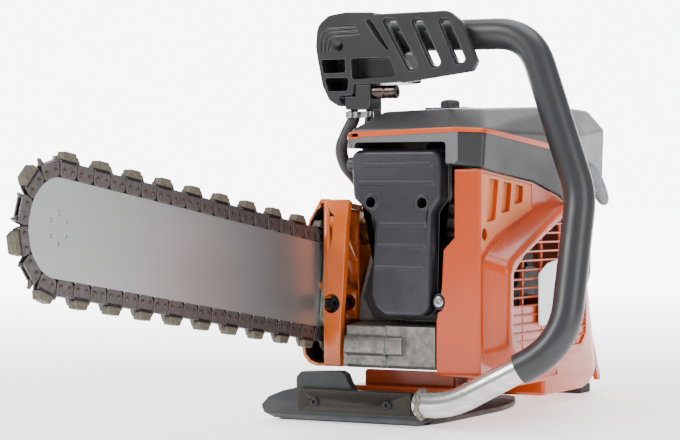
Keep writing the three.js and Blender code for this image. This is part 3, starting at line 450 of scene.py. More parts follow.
base_ring = outline((-9.9, 5.6, 0.5), (9.9, 5.6, 0.5), (9.4, 8.4, 0.5), (-9.4, 8.4, 0.5))
FOOT_HALF, SEGMENT_HALF = 3.1, 3.9
base = slab("y", base_ring, -FOOT_HALF, FOOT_HALF)
bases = repeat("chain_segment_feet", chain_spots, finished(base, "segment_foot", drive_steel, 0.3),
               drive_steel, every=2, first=1)
carried(bases, "saw")

grit = surface("diamond_segment", "686052", "4c463b", 2.5, 0.62, metal=0.25, spread=0.12,
               grain=0.45, depth=0.12, worn="a59e8b")
block_ring = outline((-9.8, 8.2, 0.6), (9.8, 8.2, 0.6), (6.9, 14.6, 1.6), (-6.9, 14.6, 1.6))
segments = repeat("chain_segments", chain_spots,
                  finished(slab("y", block_ring, -SEGMENT_HALF, SEGMENT_HALF, rim=0.7),
                           "segment", grit, 0.3), grit, every=2, first=1)
carried(segments, "saw")

# ---- Bar pad ----------------------------------------------------------------------------------
# Flat plate of bright ground steel between the bar and its arm, with two holes for the studs. Its
# front corners are clipped and its faces carry oil.
PAD_FROM, PAD_TO, PAD_HALF = 56, 101, 37.4
STUDS = (64, 92)
pad_ring = outline((PAD_FROM, -PAD_HALF, 2), (PAD_TO - 5, -PAD_HALF, 3), (PAD_TO, -PAD_HALF + 6, 3),
                   (PAD_TO, PAD_HALF - 6, 3), (PAD_TO - 5, PAD_HALF, 3), (PAD_FROM, PAD_HALF, 2))
pad = cut(slab("y", pad_ring, 3.1, 7.4), *[slab("y", circle(u, 0, 4.5), 0, 20) for u in STUDS])
oiled_steel = surface("oiled_ground_steel", "a8a496", "7b786c", 14, 0.34, metal=0.9, grain=0.5,
                      depth=0.004, stretch=(0.2, 1, 1), worn="dedcd4")
piece(on_bar(pad), "bar_pad_plate", oiled_steel, "saw", ["bar_pad"], edge=0.7)

# ---- Chain guard: the cast arm, the outer half and the two bar nuts ----------------------------
# Both halves are cast magnesium, painted gloss orange outside. Inside, the faces that look towards the
# guard's middle take a near-black finish. The arm carries the studs; two flanged nuts hold the bar and the
# outer half.
GUARD_MIDDLE = Vector((30, -94, 115)) * MM


def hull(points):
    """The convex solid round points in millimetres."""
    bm = bmesh.new()
    for point in points:
        bm.verts.new(point)
    made = bmesh.ops.convex_hull(bm, input=bm.verts)
    spare = {v for v in made["geom_interior"] + made["geom_unused"] if isinstance(v,
                                                                                  bmesh.types.BMVert)}
    bmesh.ops.delete(bm, geom=list(spare), context="VERTS")
    bmesh.ops.dissolve_limit(bm, angle_limit=radians(0.6), verts=bm.verts, edges=bm.edges)
    return solid(bm)


def loft(axis, *rings):
    """The convex solid over flat rings, each given as (height along the axis, outline)."""
    place = placing(axis)
    return hull([place(u, v, height) for height, ring in rings for u, v in ring])


def rounded(obj, width, steps=3, sharp=24.0):
    """Rounds a solid's edges by width millimetres, before other shapes are cut into it."""
    soften = obj.modifiers.new("round", "BEVEL")
    soften.width = width * MM
    soften.segments = steps
    soften.limit_method = "ANGLE"
    soften.angle_limit = radians(sharp)
    return bake(obj)


def softened(name):
    """A copy of a CAD node's shape with its loose triangles merged, for a piece to start from."""
    bm = bmesh.new()
    bm.from_mesh(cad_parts[name].data)
    bmesh.ops.remove_doubles(bm, verts=bm.verts, dist=2e-6)
    bmesh.ops.dissolve_limit(bm, angle_limit=radians(0.8), verts=bm.verts, edges=bm.edges)
    bmesh.ops.scale(bm, vec=(1 / MM, 1 / MM, 1 / MM), verts=bm.verts)
    return solid(bm)


def paint_inside(obj, material, middle, where=lambda centre: True):
    """Gives a hollow piece's inner faces their own finish: those that look towards its middle."""
    obj.data.materials.append(material)
    for face in obj.data.polygons:
        if face.normal.dot((middle - face.center).normalized()) > 0.05 and where(face.center):
            face.material_index = 1


cast_paint = surface("painted_magnesium", "cf6018", "c45614", 45, 0.3, spread=0.05, grain=0.9,
                     depth=0.006, coat=0.35, worn="e0853f", specular=0.5)
near_black_inside = surface("near_black_guard_inside", "1b1716", "2b2320", 9, 0.5, spread=0.15, grain=1.2, depth=0.05)
flange_ring = outline((-84, 51, 2), (-68, 50, 2), (-68, 64, 2), (-67, 99, 20), (-65, 117, 20),
                      (-62, 177, 20),
                      (-59, 198, 3), (-63, 201.6, 2), (-81, 201.5, 2), (-82, 195.5, 1), (-79, 194.5, 1),
                      (-77.5, 190, 1),
                      (-74, 187, 1.5), (-77, 163, 4), (-78, 157, 1), (-82, 155.5, 1), (-82, 113, 3),
                      (-84, 88, 3))
flange = rounded(slab("x", flange_ring, 96.6, 104.4), 1.1, 3, 50)
TENSIONER = (-77, 107)
flange = cut(flange, dome("x", *TENSIONER, 9.8, 108, 103.6, -1.2, 48),
             slab("x", circle(*TENSIONER, 8.8, 48), 90, 110))
arm = piece(union(softened("bar_guard_arm"), flange), "bar_guard_arm_cast", cast_paint, "saw",
            ["bar_guard_arm"], edge=0)
# The arm's inner faces, towards the guard's middle, take the near-black finish.
paint_inside(arm, near_black_inside, GUARD_MIDDLE, lambda c: c.y < -0.0795 and c.x < 0.1036)
outer_half = piece(softened("bar_guard_outer"), "bar_guard_outer_cast", cast_paint, "saw",
                   ["bar_guard_outer"], edge=0.8)
# The outer half's inner faces, towards the guard's middle, take the near-black finish.
paint_inside(outer_half, near_black_inside, GUARD_MIDDLE)


def on_bar_line(u):
    """(x, z) of a point on the bar's middle line, u millimetres from the crank axis."""
    return BAR_FROM.x + u * cos(BAR_TILT), BAR_FROM.z + u * sin(BAR_TILT)


zinc_steel = surface("zinc_plated_steel", "b9bcc0", "96999c", 6, 0.28, metal=0.95, grain=0.4,
                     depth=0.004, worn="eeeeea")
for nut_name, u in zip(("bar_nut_rear", "bar_nut_front"), STUDS):
    x, z = on_bar_line(u)
    nut = union(dome("y", x, z, 11, -109.3, -110.2, -0.9, 36),
                slab("y", circle(x, z, 8.2, 6), -117.4, -110.6))
    piece(cut(nut, slab("y", circle(x, z, 4.4), -130, -105)), nut_name + "_flanged", zinc_steel, "saw",
          [nut_name], edge=0.5)

# ---- Chain tensioner screw --------------------------------------------------------------------
# Black oxide socket screw, deep in the arm's round opening, where a driver reaches it from the
# front. It draws the bar forward.
black_oxide = surface("black_oxide_steel", "262629", "17171a", 3, 0.36, metal=0.7, grain=0.4,
                      depth=0.006, worn="77777c")
piece(softened("tensioner_screw"), "tensioner_screw_head", black_oxide, "tensioner",
      ["tensioner_screw"], edge=0.4)

# ---- Muffler ----------------------------------------------------------------------------------
# Two deep-drawn steel halves in baked satin charcoal paint, with pressed ribs. Its front corners are
# well rounded, and two wells with raised rims take the driver to its fixing screws.
MUFFLER_FRONT, MUFFLER_BACK = 105, 78
muffler_ring = outline((-52, 246, 8), (-57, 240, 8), (-55, 203, 8), (-38, 188, 9), (-33, 180, 8),
                       (-37, 116, 10), (-33, 105, 8), (-23, 97, 9), (14, 97, 9), (22, 104, 8),
                       (24, 190, 9), (33, 202, 8), (33, 240, 8), (28, 246, 8))
muffler = slab("x", muffler_ring, MUFFLER_BACK, MUFFLER_FRONT, rim=4.6, steps=5)
ribs = [slab("x", outline((y0, z - 2.2, 2.1), (y1, z - 2.2, 2.1), (y1, z + 2.2, 2.1),
                          (y0, z + 2.2, 2.1)),
             MUFFLER_FRONT - 3, MUFFLER_FRONT + 1.3, rim=1.1)
        for z, y0, y1 in ((232.5, -44, 25), (216, -50, 27), (179, -28, 19), (159.5, -31, 18),
                          (140, -33, 17))]
WELLS = ((-36, 199), (15, 198.5))
PORT = (-20, 206)
rims = [slab("x", circle(y, z, 7.4), 98, MUFFLER_FRONT + 1.4, rim=0.9) for y, z in WELLS]
seam = slab("x", outline((-53, 247, 8), (-58, 240.6, 8), (-56, 202.4, 8), (-39, 187.4, 9),
                         (-34, 180, 8),
                         (-38, 116, 10), (-34, 104.4, 8), (-23.4, 96, 9), (14.4, 96, 9), (23, 103.6, 8),
                         (25, 189.6, 9), (34, 201.6, 8), (34, 240.4, 8), (28.4, 247, 8)), 86.4, 88.6,
            rim=0.7)
muffler = union(muffler, seam, slab("y", circle(98, 233.5, 6.4), -61, -38, rim=1.2),
                slab("x", circle(*PORT, 15), 45.4, 80), *ribs, *rims)
muffler = cut(muffler, *[slab("x", circle(y, z, 5.0), 84, 120) for y, z in WELLS],
              slab("x", circle(*PORT, 9), 40, 77))
baked_paint = surface("baked_charcoal_paint", "3b3a40", "313036", 22, 0.42, metal=0.35, spread=0.07,
                      grain=0.7, depth=0.012, worn="7f7e84")
piece(muffler, "muffler_body", baked_paint, "saw", ["muffler"], edge=0.4)

# ---- Muffler shield and its screw --------------------------------------------------------------
# Black pressed steel behind the muffler, with a round boss that stands out beside it. A zinc screw
# with a six-lobed socket sits in the boss.
black_steel = surface("black_painted_steel", "1e1e20", "2a2a2c", 16, 0.4, metal=0.2, spread=0.1,
                      grain=0.8, depth=0.012, worn="5b5b5e")
piece(softened("muffler_shield"), "muffler_shield_plate", black_steel, "saw", ["muffler_shield"],
      edge=0.6)


def star_socket(axis, u, v, radius, low, high):
    """A cutter for a six-lobed driver socket."""
    ring = [(u + r * cos(a), v + r * sin(a)) for r, a in
            [(radius * (1 + 0.16 * cos(6 * t)), t) for t in [2 * pi * i / 36 for i in range(36)]]]
    return slab(axis, ring, low, high)


SHIELD_BOSS = (31, 111)
boss_screw = union(slab("x", circle(*SHIELD_BOSS, 2.6), 80, 102),
                   dome("x", *SHIELD_BOSS, 4.8, 101.3, 104, 1.0, 32))
piece(cut(boss_screw, star_socket("x", *SHIELD_BOSS, 2.2, 102.6, 108)), "muffler_screw_head",
      zinc_steel, "saw", ["muffler_screw"], edge=0.25)

# ---- Crankcase halves and the sealant between them ----------------------------------------------
# Die-cast aluminium as it comes from the die and a light blasting: dull grey, a little mottled, with
# soft edges and small flow marks. A thin wavy line of grey-green sealant shows where they meet.
die_cast = surface("die_cast_aluminium", "8d8a84", "716e69", 6, 0.48, metal=0.8, spread=0.12, grain=1.1,
                   depth=0.06, worn="b9b7b1")
piece(softened("crankcase_right"), "crankcase_right_cast", die_cast, "saw", ["crankcase_right"],
      edge=1.1)
piece(rounded(softened("crankcase_left"), 0.9, 2, 32), "crankcase_left_cast", die_cast, "saw",
      ["crankcase_left"], edge=0)
SEAM_X, SEAM_Y, SEAM_FOOT = 104.6, -20, 51
STEP_OUT, STEP_FROM, STEP_TO, STEP_SLOPE = 5.9, 8, 29.5, 4
seam_line = []
for i in range(48):
    up = 0.8 * i
    rise = STEP_OUT * min(1, max(0, min(up - STEP_FROM, STEP_TO - up) / STEP_SLOPE))
    wander = 0.5 * sin((SEAM_FOOT + up) * 0.9)
    seam_line.append((SEAM_X + rise, SEAM_Y + wander, SEAM_FOOT + up))


def tube(points, radius, sides=20, swell=None):
    """A round bar along points in millimetres. swell gives its radius at each point, if it varies."""
    points = [Vector(p) for p in points]
    bm = bmesh.new()
    rings = []
    side = None
    for i, point in enumerate(points):
        run = (points[min(i + 1, len(points) - 1)] - points[max(i - 1, 0)]).normalized()
        if side is None:
            side = run.orthogonal().normalized()
        side = (side - run * side.dot(run)).normalized()
        other = run.cross(side)
        r = swell[i] if swell else radius
        rings.append([bm.verts.new(point + (side * cos(a) + other * sin(a)) * r)
                      for a in [2 * pi * k / sides for k in range(sides)]])
    for a, b in zip(rings, rings[1:]):
        for k in range(sides):
            j = (k + 1) % sides
            bm.faces.new([a[k], a[j], b[j], b[k]])
    bm.faces.new(rings[0])
    bm.faces.new(rings[-1])
    return solid(bm)


sealant = surface("cured_sealant", "6f7a70", "5a645b", 4, 0.55, grain=0.7, depth=0.03)
piece(tube(seam_line, 0.75, 10), "crankcase_sealant", sealant, "saw", edge=0)

# ---- Starter cover ----------------------------------------------------------------------------
# Injection-moulded orange polyamide, glossy, with a raised fan housing. The flat side above it is a
# sunken field with a finer, paler texture and three blind slots, and a screw sits in a round recess.
COVER_FRONT, SIDE_Y, FAN_Y = 112, 75, 96
COVER_SCREW = (101, 171)
cover_ring = outline((COVER_FRONT, 46, 7), (COVER_FRONT, 228.5, 2), (-4, 217.6, 20), (-69, 203.2, 20),
                     (-100, 190, 8), (-106, 178, 8), (-106, 60, 12), (-92, 47, 10), (96, 44, 10))
fan_ring = [(97, 92), (97, 138), (89, 150), (-24, 195), (-58, 198), (-89, 176), (-89, 70), (-74, 57),
            (78, 59), (93, 72)]
fan_housing = rounded(loft("y", (62,
                                 [(112, 66), (112, 151), (100, 159), (-4, 191), (-80, 201), (-106, 178),
                                      (-106, 60), (-92, 47), (96, 47)]), (FAN_Y, fan_ring)), 4.5, 4)
starter = union(rounded(slab("y", cover_ring, 32, SIDE_Y), 1.8, 3, 40), fan_housing)
fan_room = loft("y", (60, [(107, 68), (107, 148), (-4, 186), (-78, 196), (-103, 176), (-103, 61),
                           (-91, 50),
                           (94, 50)]),
                (FAN_Y - 2.8, [(94, 93), (94, 136), (87, 147), (-24, 192), (-57, 195), (-86, 174),
                               (-86, 71),
                               (-72, 60), (76, 62), (90, 74)]))
shell_room = slab("y", [(109, 49), (109, 240), (-4, 240), (-69, 240), (-103, 240), (-103, 60),
                        (-91, 50)],
                  20, SIDE_Y - 2.8)
mouth = slab("x", [(20, 96), (33, 96), (34, 102), (37.6, 122), (39.4, 157), (50, 168), (50, 232),
                   (50, 242),
                   (20, 242)], 60, 130)
FIELD = [(108.6, 225.3), (-2, 214.8), (-2, 192.6), (76, 171), (99, 160.5), (108.6, 152.5)]
field = slab("y", outline(*[(x, z, 1.5) for x, z in FIELD]), SIDE_Y - 1, SIDE_Y + 4)
SLOTS = ([(91, 220), (71, 219), (78, 184), (96, 181)], [(60, 217), (42, 216), (47, 191), (65, 189)],
         [(33, 215), (16, 213.4), (18, 199), (36, 197)])
slot_rings = [outline(*[(x, z, 1.8) for x, z in corners]) for corners in SLOTS]
slots = [slab("y", ring, SIDE_Y - 8, SIDE_Y + 2) for ring in slot_rings]
WINDOW = [(88, 107), (87, 137), (64, 152), (34, 163), (-20, 183), (-52, 186), (-82, 168), (-82, 107)]
window = slab("y", outline(*[(x, z, 4) for x, z in WINDOW]), 88, 100)
blind = slab("y", outline((88, 110, 2), (-82, 110, 2), (-82, 76, 6), (-70, 66, 6), (66, 66, 6),
                          (88, 80, 6)),
             FAN_Y - 1.8, 100)
starter = cut(starter, shell_room, fan_room, mouth, field, window, blind,
              slab("x", circle(*SHIELD_BOSS, 9.6), 90, 130),
              slab("x", [(20, 30), (44, 30), (44, 44), (20, 44)], -200, 200),
              slab("y", circle(*COVER_SCREW, 5.2), 60, 80))
pockets = slab("y", [(10, 180), (100, 176), (100, 223), (10, 215)], SIDE_Y - 7, SIDE_Y - 2.5)
pocket_cups = cut(union(pockets, slab("y", circle(*COVER_SCREW, 7.4), 62, 74)),
                  *[slab("y", ring, SIDE_Y - 5.4, SIDE_Y + 2) for ring in slot_rings],
                  slab("y", circle(*COVER_SCREW, 5.2), 64, 80))
starter = cut(starter, *slots)
starter = union(starter, pocket_cups)
PULL_AXIS = Vector((-0.557, 0.5, 0.663)).normalized()
GRIP_MIDDLE = Vector((-98, 100, 216))


def along_pull(start, end, radius, sides=24):
    """A round bar on the starter rope's line, start and end millimetres from the grip's middle."""
    return tube([GRIP_MIDDLE + PULL_AXIS * start, GRIP_MIDDLE + PULL_AXIS * end], radius, sides)


starter = cut(union(starter, along_pull(-44, -13, 7), slab("y", circle(0, 109.4, 5), 61, 94)),
              along_pull(-70, 0, 2.6))
moulded_orange = surface("moulded_orange_polyamide", "c0440a", "b84008", 60, 0.3, spread=0.04,
                         grain=0.8,
                         depth=0.004, coat=0.25)
textured_orange = surface("textured_orange_polyamide", "dd7c48", "d67440", 40, 0.5, spread=0.05,
                          grain=0.35, depth=0.02)
starter = piece(starter, "starter_cover_shell", moulded_orange, "saw", ["starter_cover"],
                edge=0.5)
starter.data.materials.append(textured_orange)
# Dark orange for the faces inside the cover's hollow: painted shade.
orange_inside_painted_shade = surface("painted_shade_orange_inside", "8a3612", "6d2a0f", 12, 0.6, grain=1.0, depth=0.02)
starter.data.materials.append(orange_inside_painted_shade)
for face in starter.data.polygons:
    x, y, z = face.center / MM
    if face.normal.y > 0.9 and SIDE_Y - 9 < y < SIDE_Y - 0.4 and z > 150 and -4 < x < 110:
        face.material_index = 1
    # Faces that look into the cover's hollow take the dark orange: painted shade.
    elif face.normal.dot(Vector((0, 40, 120)) - Vector((x, y, z))) > 0 and y < FAN_Y - 2.6 and x < 111:
        face.material_index = 2

# ---- Starter grille ---------------------------------------------------------------------------
# The same moulding's thin bars, eight millimetres apart, over the fan opening, with four uprights
# behind them. The lowest rows lie over a blind field.
ROD_RADIUS, ROW_STEP, ROWS, LOWEST_ROW = 1.15, 8, 15, 74.8
UPRIGHTS = (64, 21, -22, -62)
UNTURNED = (0, 0, 0)
bar_rod = tube([(-92, 0, 0), (92, 0, 0)], ROD_RADIUS, 12)
row_places = [(Vector((0, FAN_Y - ROD_RADIUS, LOWEST_ROW + ROW_STEP * i)) * MM, UNTURNED)
              for i in range(ROWS)]
rows = repeat("grille_rows", row_places,
              finished(bar_rod, "grille_row", moulded_orange, 0.1), moulded_orange)
upright = slab("x", [(FAN_Y - 4.5, 60), (FAN_Y - 1.4, 60), (FAN_Y - 1.4, 200), (FAN_Y - 4.5, 200)], -1,
               1)
uprights = repeat("grille_uprights", [(Vector((x, 0, 0)) * MM, UNTURNED) for x in UPRIGHTS],
                  finished(upright, "grille_upright", moulded_orange, 0.4), moulded_orange)
opening = slab("y", outline((89, 67, 6), (88, 137.6, 4), (64, 153, 4), (34, 164, 4), (-20, 184, 4),
                            (-52, 187, 4),
                            (-83, 169, 4), (-83, 76, 6), (-70, 65, 6)), 80, 110)
second_opening = opening.copy()
bpy.context.scene.collection.objects.link(second_opening)
for bars, keep, name in ((rows, second_opening, "starter_grille_rows"),
                         (uprights, opening, "starter_grille_uprights")):
    piece(combine(bars, [keep], "INTERSECT"), name, moulded_orange, "saw",
          edge=0)
cover_screw = cut(dome("y", *COVER_SCREW, 4.3, 66, 70.4, 0.8),
                  star_socket("y", *COVER_SCREW, 2.0, 69, 73))
piece(cover_screw, "starter_cover_screw", black_oxide, "saw", edge=0.25)

# ---- Plate on the starter cover ----------------------------------------------------------------
# A blank printed aluminium plate, white and satin, glued over the middle of the grille. Its top
# edge slopes and its corners are rounded.
white_plate = surface("white_printed_plate", "e9edf0", "e2e7ea", 30, 0.32, spread=0.03, grain=0.6,
                      depth=0.003)
plate_ring_side = outline((34, 88, 5), (-30, 88, 5), (-30, 149, 5), (14, 143.6, 5), (34, 135, 5))
piece(slab("y", plate_ring_side, FAN_Y + 0.3, FAN_Y + 1.6), "label_plate_blank", white_plate, "saw",
      ["label_plate"], edge=0.35)

# ---- Starter grip and rope ----------------------------------------------------------------------
# A pale grey moulded handle with fine grip grooves, on a braided polyester rope with a dark
# fleck. It sits tilted against the starter cover, and comes out along the rope's own line.
GRIP_AXIS = Vector((-0.766, 0, -0.643)).normalized()
grip_line, grip_swell = [], []
for i in range(61):
    part = -1 + i / 30
    groove = 0.55 if i % 4 == 2 and 8 < i < 52 else 0.0
    grip_line.append(GRIP_MIDDLE + GRIP_AXIS * 30 * part)
    grip_swell.append(max(0.8, 7.6 * (1 - abs(part) ** 6) ** 0.5 * (0.9 + 0.1 * cos(pi * part)) - groove))
pale_grip = surface("pale_grey_elastomer", "787d83", "6e7378", 15, 0.5, grain=0.6, depth=0.02,
                    spread=0.05)
grip = union(tube(grip_line, 7.6, 28, swell=grip_swell), rounded(along_pull(-12, 0, 5.6), 0.8))
piece(cut(grip, along_pull(-20, -2, 2.1)), "starter_grip_handle", pale_grip, "pull", ["starter_grip"],
      edge=0.3, sharp=50)
rope = surface("braided_polyester", "2a2b2c", "6a6c6e", 1.6, 0.8, grain=0.5, depth=0.15)
piece(along_pull(-66, -2.5, 1.7, 16), "starter_rope_braid", rope, "pull", ["starter_rope"],
      edge=0)

# ---- Cylinder cover with its stripe -------------------------------------------------------------
# Dark grey glass-filled polyamide with a fine moulded texture. Its front-facing lip is a little smoother
# and painted a paler grey, a painted highlight, and an orange stripe is let into the front and both sides.
cover_points = [(78, -36, 281), (84, 34, 283), (60, 52, 283), (-100.2, 60, 290), (-100.2, -44, 289),
                (112, -52, 264), (112, 50, 265), (101, 74, 262), (-100.2, 79, 262), (-100.2, -60, 262),
                (104, -60, 258), (112, -56, 247), (112, 50, 233), (103, 73, 229), (-4, 75, 218.5),
                (-69, 75, 204), (-100.2, 75, 196), (104, -60, 246), (-100.2, -60, 214), (100, -60, 230),
                (112, -50, 235)]
room_points = [(76, -34, 277.5), (82, 32, 279.5), (60, 48, 279.5), (-104, 56, 286), (-104, -41, 285),
               (108.5, -49, 261), (108.5, 48, 262), (98.5, 71, 260), (-104, 75.5, 260),
               (-104, -57, 260),
               (108.5, -53, 200), (108.5, 48, 200), (99.5, 71.5, 200), (-104, 71.5, 180),
               (-104, -57, 180)]


def cover_room():
    """The space under the cylinder cover: its inside, its mouth and the space beside the starter."""
    lips = [slab("x", outline((-49, 200, 2), (41, 200, 2), (41, 252.5, 3), (-49, 252.5, 3)), 100, 120),
            slab("x", outline((-70, 190, 2), (41, 190, 2), (41, 247.3, 3), (-70, 247.3, 3)), 72, 120),
            slab("y", [(113, 150), (113, 229.2), (-4, 218.3), (-69, 203.9), (-101, 190.7), (-101, 150)],
                 28, 82)]
    return [hull(room_points), *lips]


BUTTON, BUTTON_RADIUS, BUTTON_HOLE = (36, 10), 8.7, 9.5
LIP_X, LIP_TOP = 0.1105, 0.2585
glass_filled = surface("glass_filled_polyamide", "2a292b", "232225", 50, 0.44, spread=0.06, grain=0.5,
                       depth=0.018, worn="5c5b5f")
# Paler grey for the lip's front faces: a painted highlight on the front of the cover.
lip_painted_highlight = surface("grey_lip_painted_highlight", "6a696c", "616063", 30, 0.38, spread=0.04, grain=0.6,
                     depth=0.006)
cover = cut(rounded(hull(cover_points), 3.2, 4, 14), *cover_room(),
            slab("z", circle(*BUTTON, BUTTON_HOLE, 48), 270, 295))
cover = piece(cover, "cylinder_cover_shell", glass_filled, "saw", ["cylinder_cover"],
              edge=0.7)
cover.data.materials.append(lip_painted_highlight)
# Faces of the lip that face forward take the paler grey: painted highlight.
for face in cover.data.polygons:
    if face.normal.x > 0.86 and face.center.x > LIP_X and face.center.z < LIP_TOP:
        face.material_index = 1

stripe_paint = surface("orange_inlay", "cf520f", "c84c0c", 40, 0.34, spread=0.04, grain=0.6,
                       depth=0.005)
STRIPE_OUT, STRIPE_BED = 0.8, 2.0
proud = [(x + (STRIPE_OUT if x > 0 else 0), y + (STRIPE_OUT if y > 0 else -STRIPE_OUT), z + STRIPE_OUT)
         for x, y, z in cover_points]
front_band = slab("x", [(-70, 256.6), (50.4, 261.3), (50.4, 265.5), (-70, 261.6)], 60, 130)
left_band = slab("y", [(130, 262.6), (110, 261.2), (-101, 242.5), (-101, 247.8), (110, 265.3),
                       (130, 267)], 50.5, 100)
right_band = slab("y", [(130, 257.2), (-101, 240.5), (-101, 245.3), (130, 262)], -80, -45)
for name, band in (("front", front_band), ("left", left_band), ("right", right_band)):
    strip = cut(combine(rounded(hull(proud), 3.2, 4, 14), [band], "INTERSECT"),
                hull([(x + STRIPE_BED * (x > 0), y + (STRIPE_BED if y > 0 else -STRIPE_BED),
                       z + STRIPE_BED) for x, y, z in room_points]))
    piece(strip, "cover_stripe_" + name, stripe_paint, "saw", edge=0.15)

# ---- Decompression button and its plate ----------------------------------------------------------
# A knurled grey-black thermoset button on a steel stem, through a thin black plate on the cover.
# It presses straight down.
thin_plate = cut(slab("z", outline((22, -12, 3), (46, -12, 3), (46, 30, 3), (22, 30, 3)), 281.5, 285.4),
                 slab("z", circle(*BUTTON, BUTTON_HOLE, 48), 270, 295))
piece(thin_plate, "decompression_plate", black_oxide, "saw", edge=0.6)
KNURLS, KNURL_RING = 18, 8.9
knurls = [slab("z", circle(BUTTON[0] + KNURL_RING * cos(a), BUTTON[1] + KNURL_RING * sin(a), 0.8, 10),
               284, 291) for a in [2 * pi * i / KNURLS for i in range(KNURLS)]]
button = cut(dome("z", *BUTTON, BUTTON_RADIUS, 284.5, 290.4, 2.5, 48), *knurls)
thermoset = surface("mottled_thermoset", "4c4d50", "6a6b6e", 2.5, 0.5, grain=0.7, depth=0.05,
                    worn="8c8d90")
piece(union(button, slab("z", circle(*BUTTON, 2.8), 249, 286)), "decompression_button", thermoset,
      "decompressor", ["decompression_valve"], edge=0.25)

# ---- Air filter cover --------------------------------------------------------------------------
# The same dark polyamide, closed at the back, with four moulded grooves along its top and a
# hole for the choke knob. It meets the cylinder cover at a thin gap.
filter_points = [(-100.6, 60, 290), (-100.6, -44, 289), (-190, 54, 289), (-190, -40, 288),
                 (-100.6, 79, 262),
                 (-100.6, -60, 262), (-205, 66, 270), (-205, -52, 268), (-236, 34, 276),
                 (-236, -30, 275),
                 (-250, 38, 258), (-250, -34, 258), (-253, 36, 236), (-253, -34, 236),
                 (-100.6, 75, 196.5),
                 (-100.6, -60, 214), (-205, 64, 212), (-205, -52, 214), (-253, 34, 228),
                 (-253, -34, 228)]
filter_room = [(-98, 56, 286), (-98, -41, 285), (-188, 51, 285), (-188, -37, 284), (-98, 75.5, 260),
               (-98, -57, 260),
               (-203, 62.5, 267), (-203, -49, 265), (-233, 32, 272), (-233, -28, 271), (-247, 35, 256),
               (-247, -31, 256), (-98, 71.5, 180), (-98, -57, 180), (-203, 61, 180), (-203, -49, 180),
               (-249.5, 32, 180), (-249.5, -31, 180)]
top_grooves = [slab("z", [(-270, y - 1), (-120, y - 1), (-120, y + 1), (-270, y + 1)], 288.2, 300)
               for y in (-20, 0, 20, 38)]
CHOKE = (24, 244)
filter_shell = cut(rounded(hull(filter_points), 3.2, 4, 14), hull(filter_room),
                   slab("x", circle(*CHOKE, 4), -270, -230), *top_grooves)
piece(filter_shell, "air_filter_cover_shell", glass_filled, "saw", ["air_filter_cover"],
      edge=0.7)

# ---- Hand guard -------------------------------------------------------------------------------
# Black glass-filled polyamide, satin, in one moulding with the housing over the water valve. Three
# curved grooves run round the screw, and three slanting slots with a stepped rim go through the panel.
GUARD_FRONT, GUARD_BACK = 77, 34
GUARD_SCREW = (-84, 342)
GROOVE_FOOT, GROOVE_RADIUS, GROOVE_OUT = 337, 1.6, 0.3
housing_ring = outline((-108, 342, 14), (-106.5, 361, 14), (-95, 370.5, 12), (-77, 373, 12),
                       (-49, 372, 3),
                       (-26, 334, 3), (-19, 308, 3), (-36, 307, 3), (-68, 306.6, 1.5), (-69, 297, 3),
                       (-85, 296, 2), (-79, 287, 1.5), (-84, 286.6, 8), (-94, 292.5, 10),
                       (-101, 306, 10),
                       (-106, 330, 10))
housing = rounded(slab("x", housing_ring, GUARD_BACK, GUARD_FRONT), 2.6, 4, 60)
panel_ring = outline((-54, 370.2, 3), (27, 371, 14), (40, 361, 12), (56, 324, 6), (51, 316, 5),
                     (-19, 307, 4),
                     (-30, 312, 4))
panel = rounded(slab("x", panel_ring, 70, GUARD_FRONT), 1.3, 3, 50)
STEPS = [[(-41, 366.3, 3), (-26, 366.3, 5), (-0.5, 319, 5), (-12.5, 316.5, 5)],
         [(-11.5, 365.3, 3), (1, 365.3, 5), (22.5, 321, 5), (10.5, 318.5, 5)],
         [(15.5, 364.3, 3), (28.5, 364.3, 6), (46.5, 323, 5), (34.5, 321, 5)]]
steps = [slab("x", outline(*corners), GUARD_FRONT - 2.4, 90) for corners in STEPS]
HOLES = [[(-36.4, 364, 2), (-27, 364, 4), (-3, 321, 4), (-11.4, 318.6, 4)],
         [(-9.4, 363, 2), (0, 363, 4), (20, 323, 4), (12, 320.6, 4)],
         [(17.6, 362, 2), (27, 362, 4), (44, 325, 4), (36, 323, 4)]]
holes = [slab("x", outline(*corners), 60, 90) for corners in HOLES]


def groove(start_y, turn_z, turn_radius, end_y, end_z):
    """A round-bottomed groove up, round a quarter turn, and along."""
    x = GUARD_FRONT + GROOVE_OUT
    bend = [(x, start_y + turn_radius + turn_radius * cos(a), turn_z + turn_radius * sin(a))
            for a in [pi - pi / 2 * i / 10 for i in range(11)]]
    return tube([(x, start_y, GROOVE_FOOT)] + bend + [(x, end_y, end_z)], GROOVE_RADIUS, 12)


curves = [groove(-101.6, 349, 10, -66.5, 360), groove(-97.6, 347.5, 8, -64, 356.4),
          groove(-93.6, 345.5, 6, -61.5, 352.6)]
valley = hull([(GUARD_FRONT + rise, y, z) for rise, y, z in (
    (6, -52, 369.4), (6, -30.5, 336.5), (6, -36, 335.5), (6, -66, 366),
    (-4.6, -51, 364), (-4.6, -33, 338), (-1.0, -40, 345))])
POCKETS = (
    (46, [(-99.8, 317.2, 2), (-76.6, 317.6, 2), (-77.4, 330, 2), (-102.2, 330, 2)]),
    (46, [(-94.4, 300.6, 2), (-74.6, 300.6, 3), (-73.4, 313, 3), (-98.8, 313, 2)]),
    (60, [(-70, 311, 3), (-24, 313, 3), (-31.6, 330.4, 3), (-71.4, 330.4, 3)]))
hand_guard = cut(union(housing, panel), *steps, *holes, valley,
                 *[slab("x", outline(*corners), back, 90) for back, corners in POCKETS])
hand_guard = cut(rounded(hand_guard, 0.3, 2, 32), *curves,
                 slab("y", circle(50.5, 350.6, 15.1, 40), -74, 20),
                 slab("x", circle(*GUARD_SCREW, 4.6), 70.5, 80),
                 slab("x", circle(*GUARD_SCREW, 2.6), 40, 80))
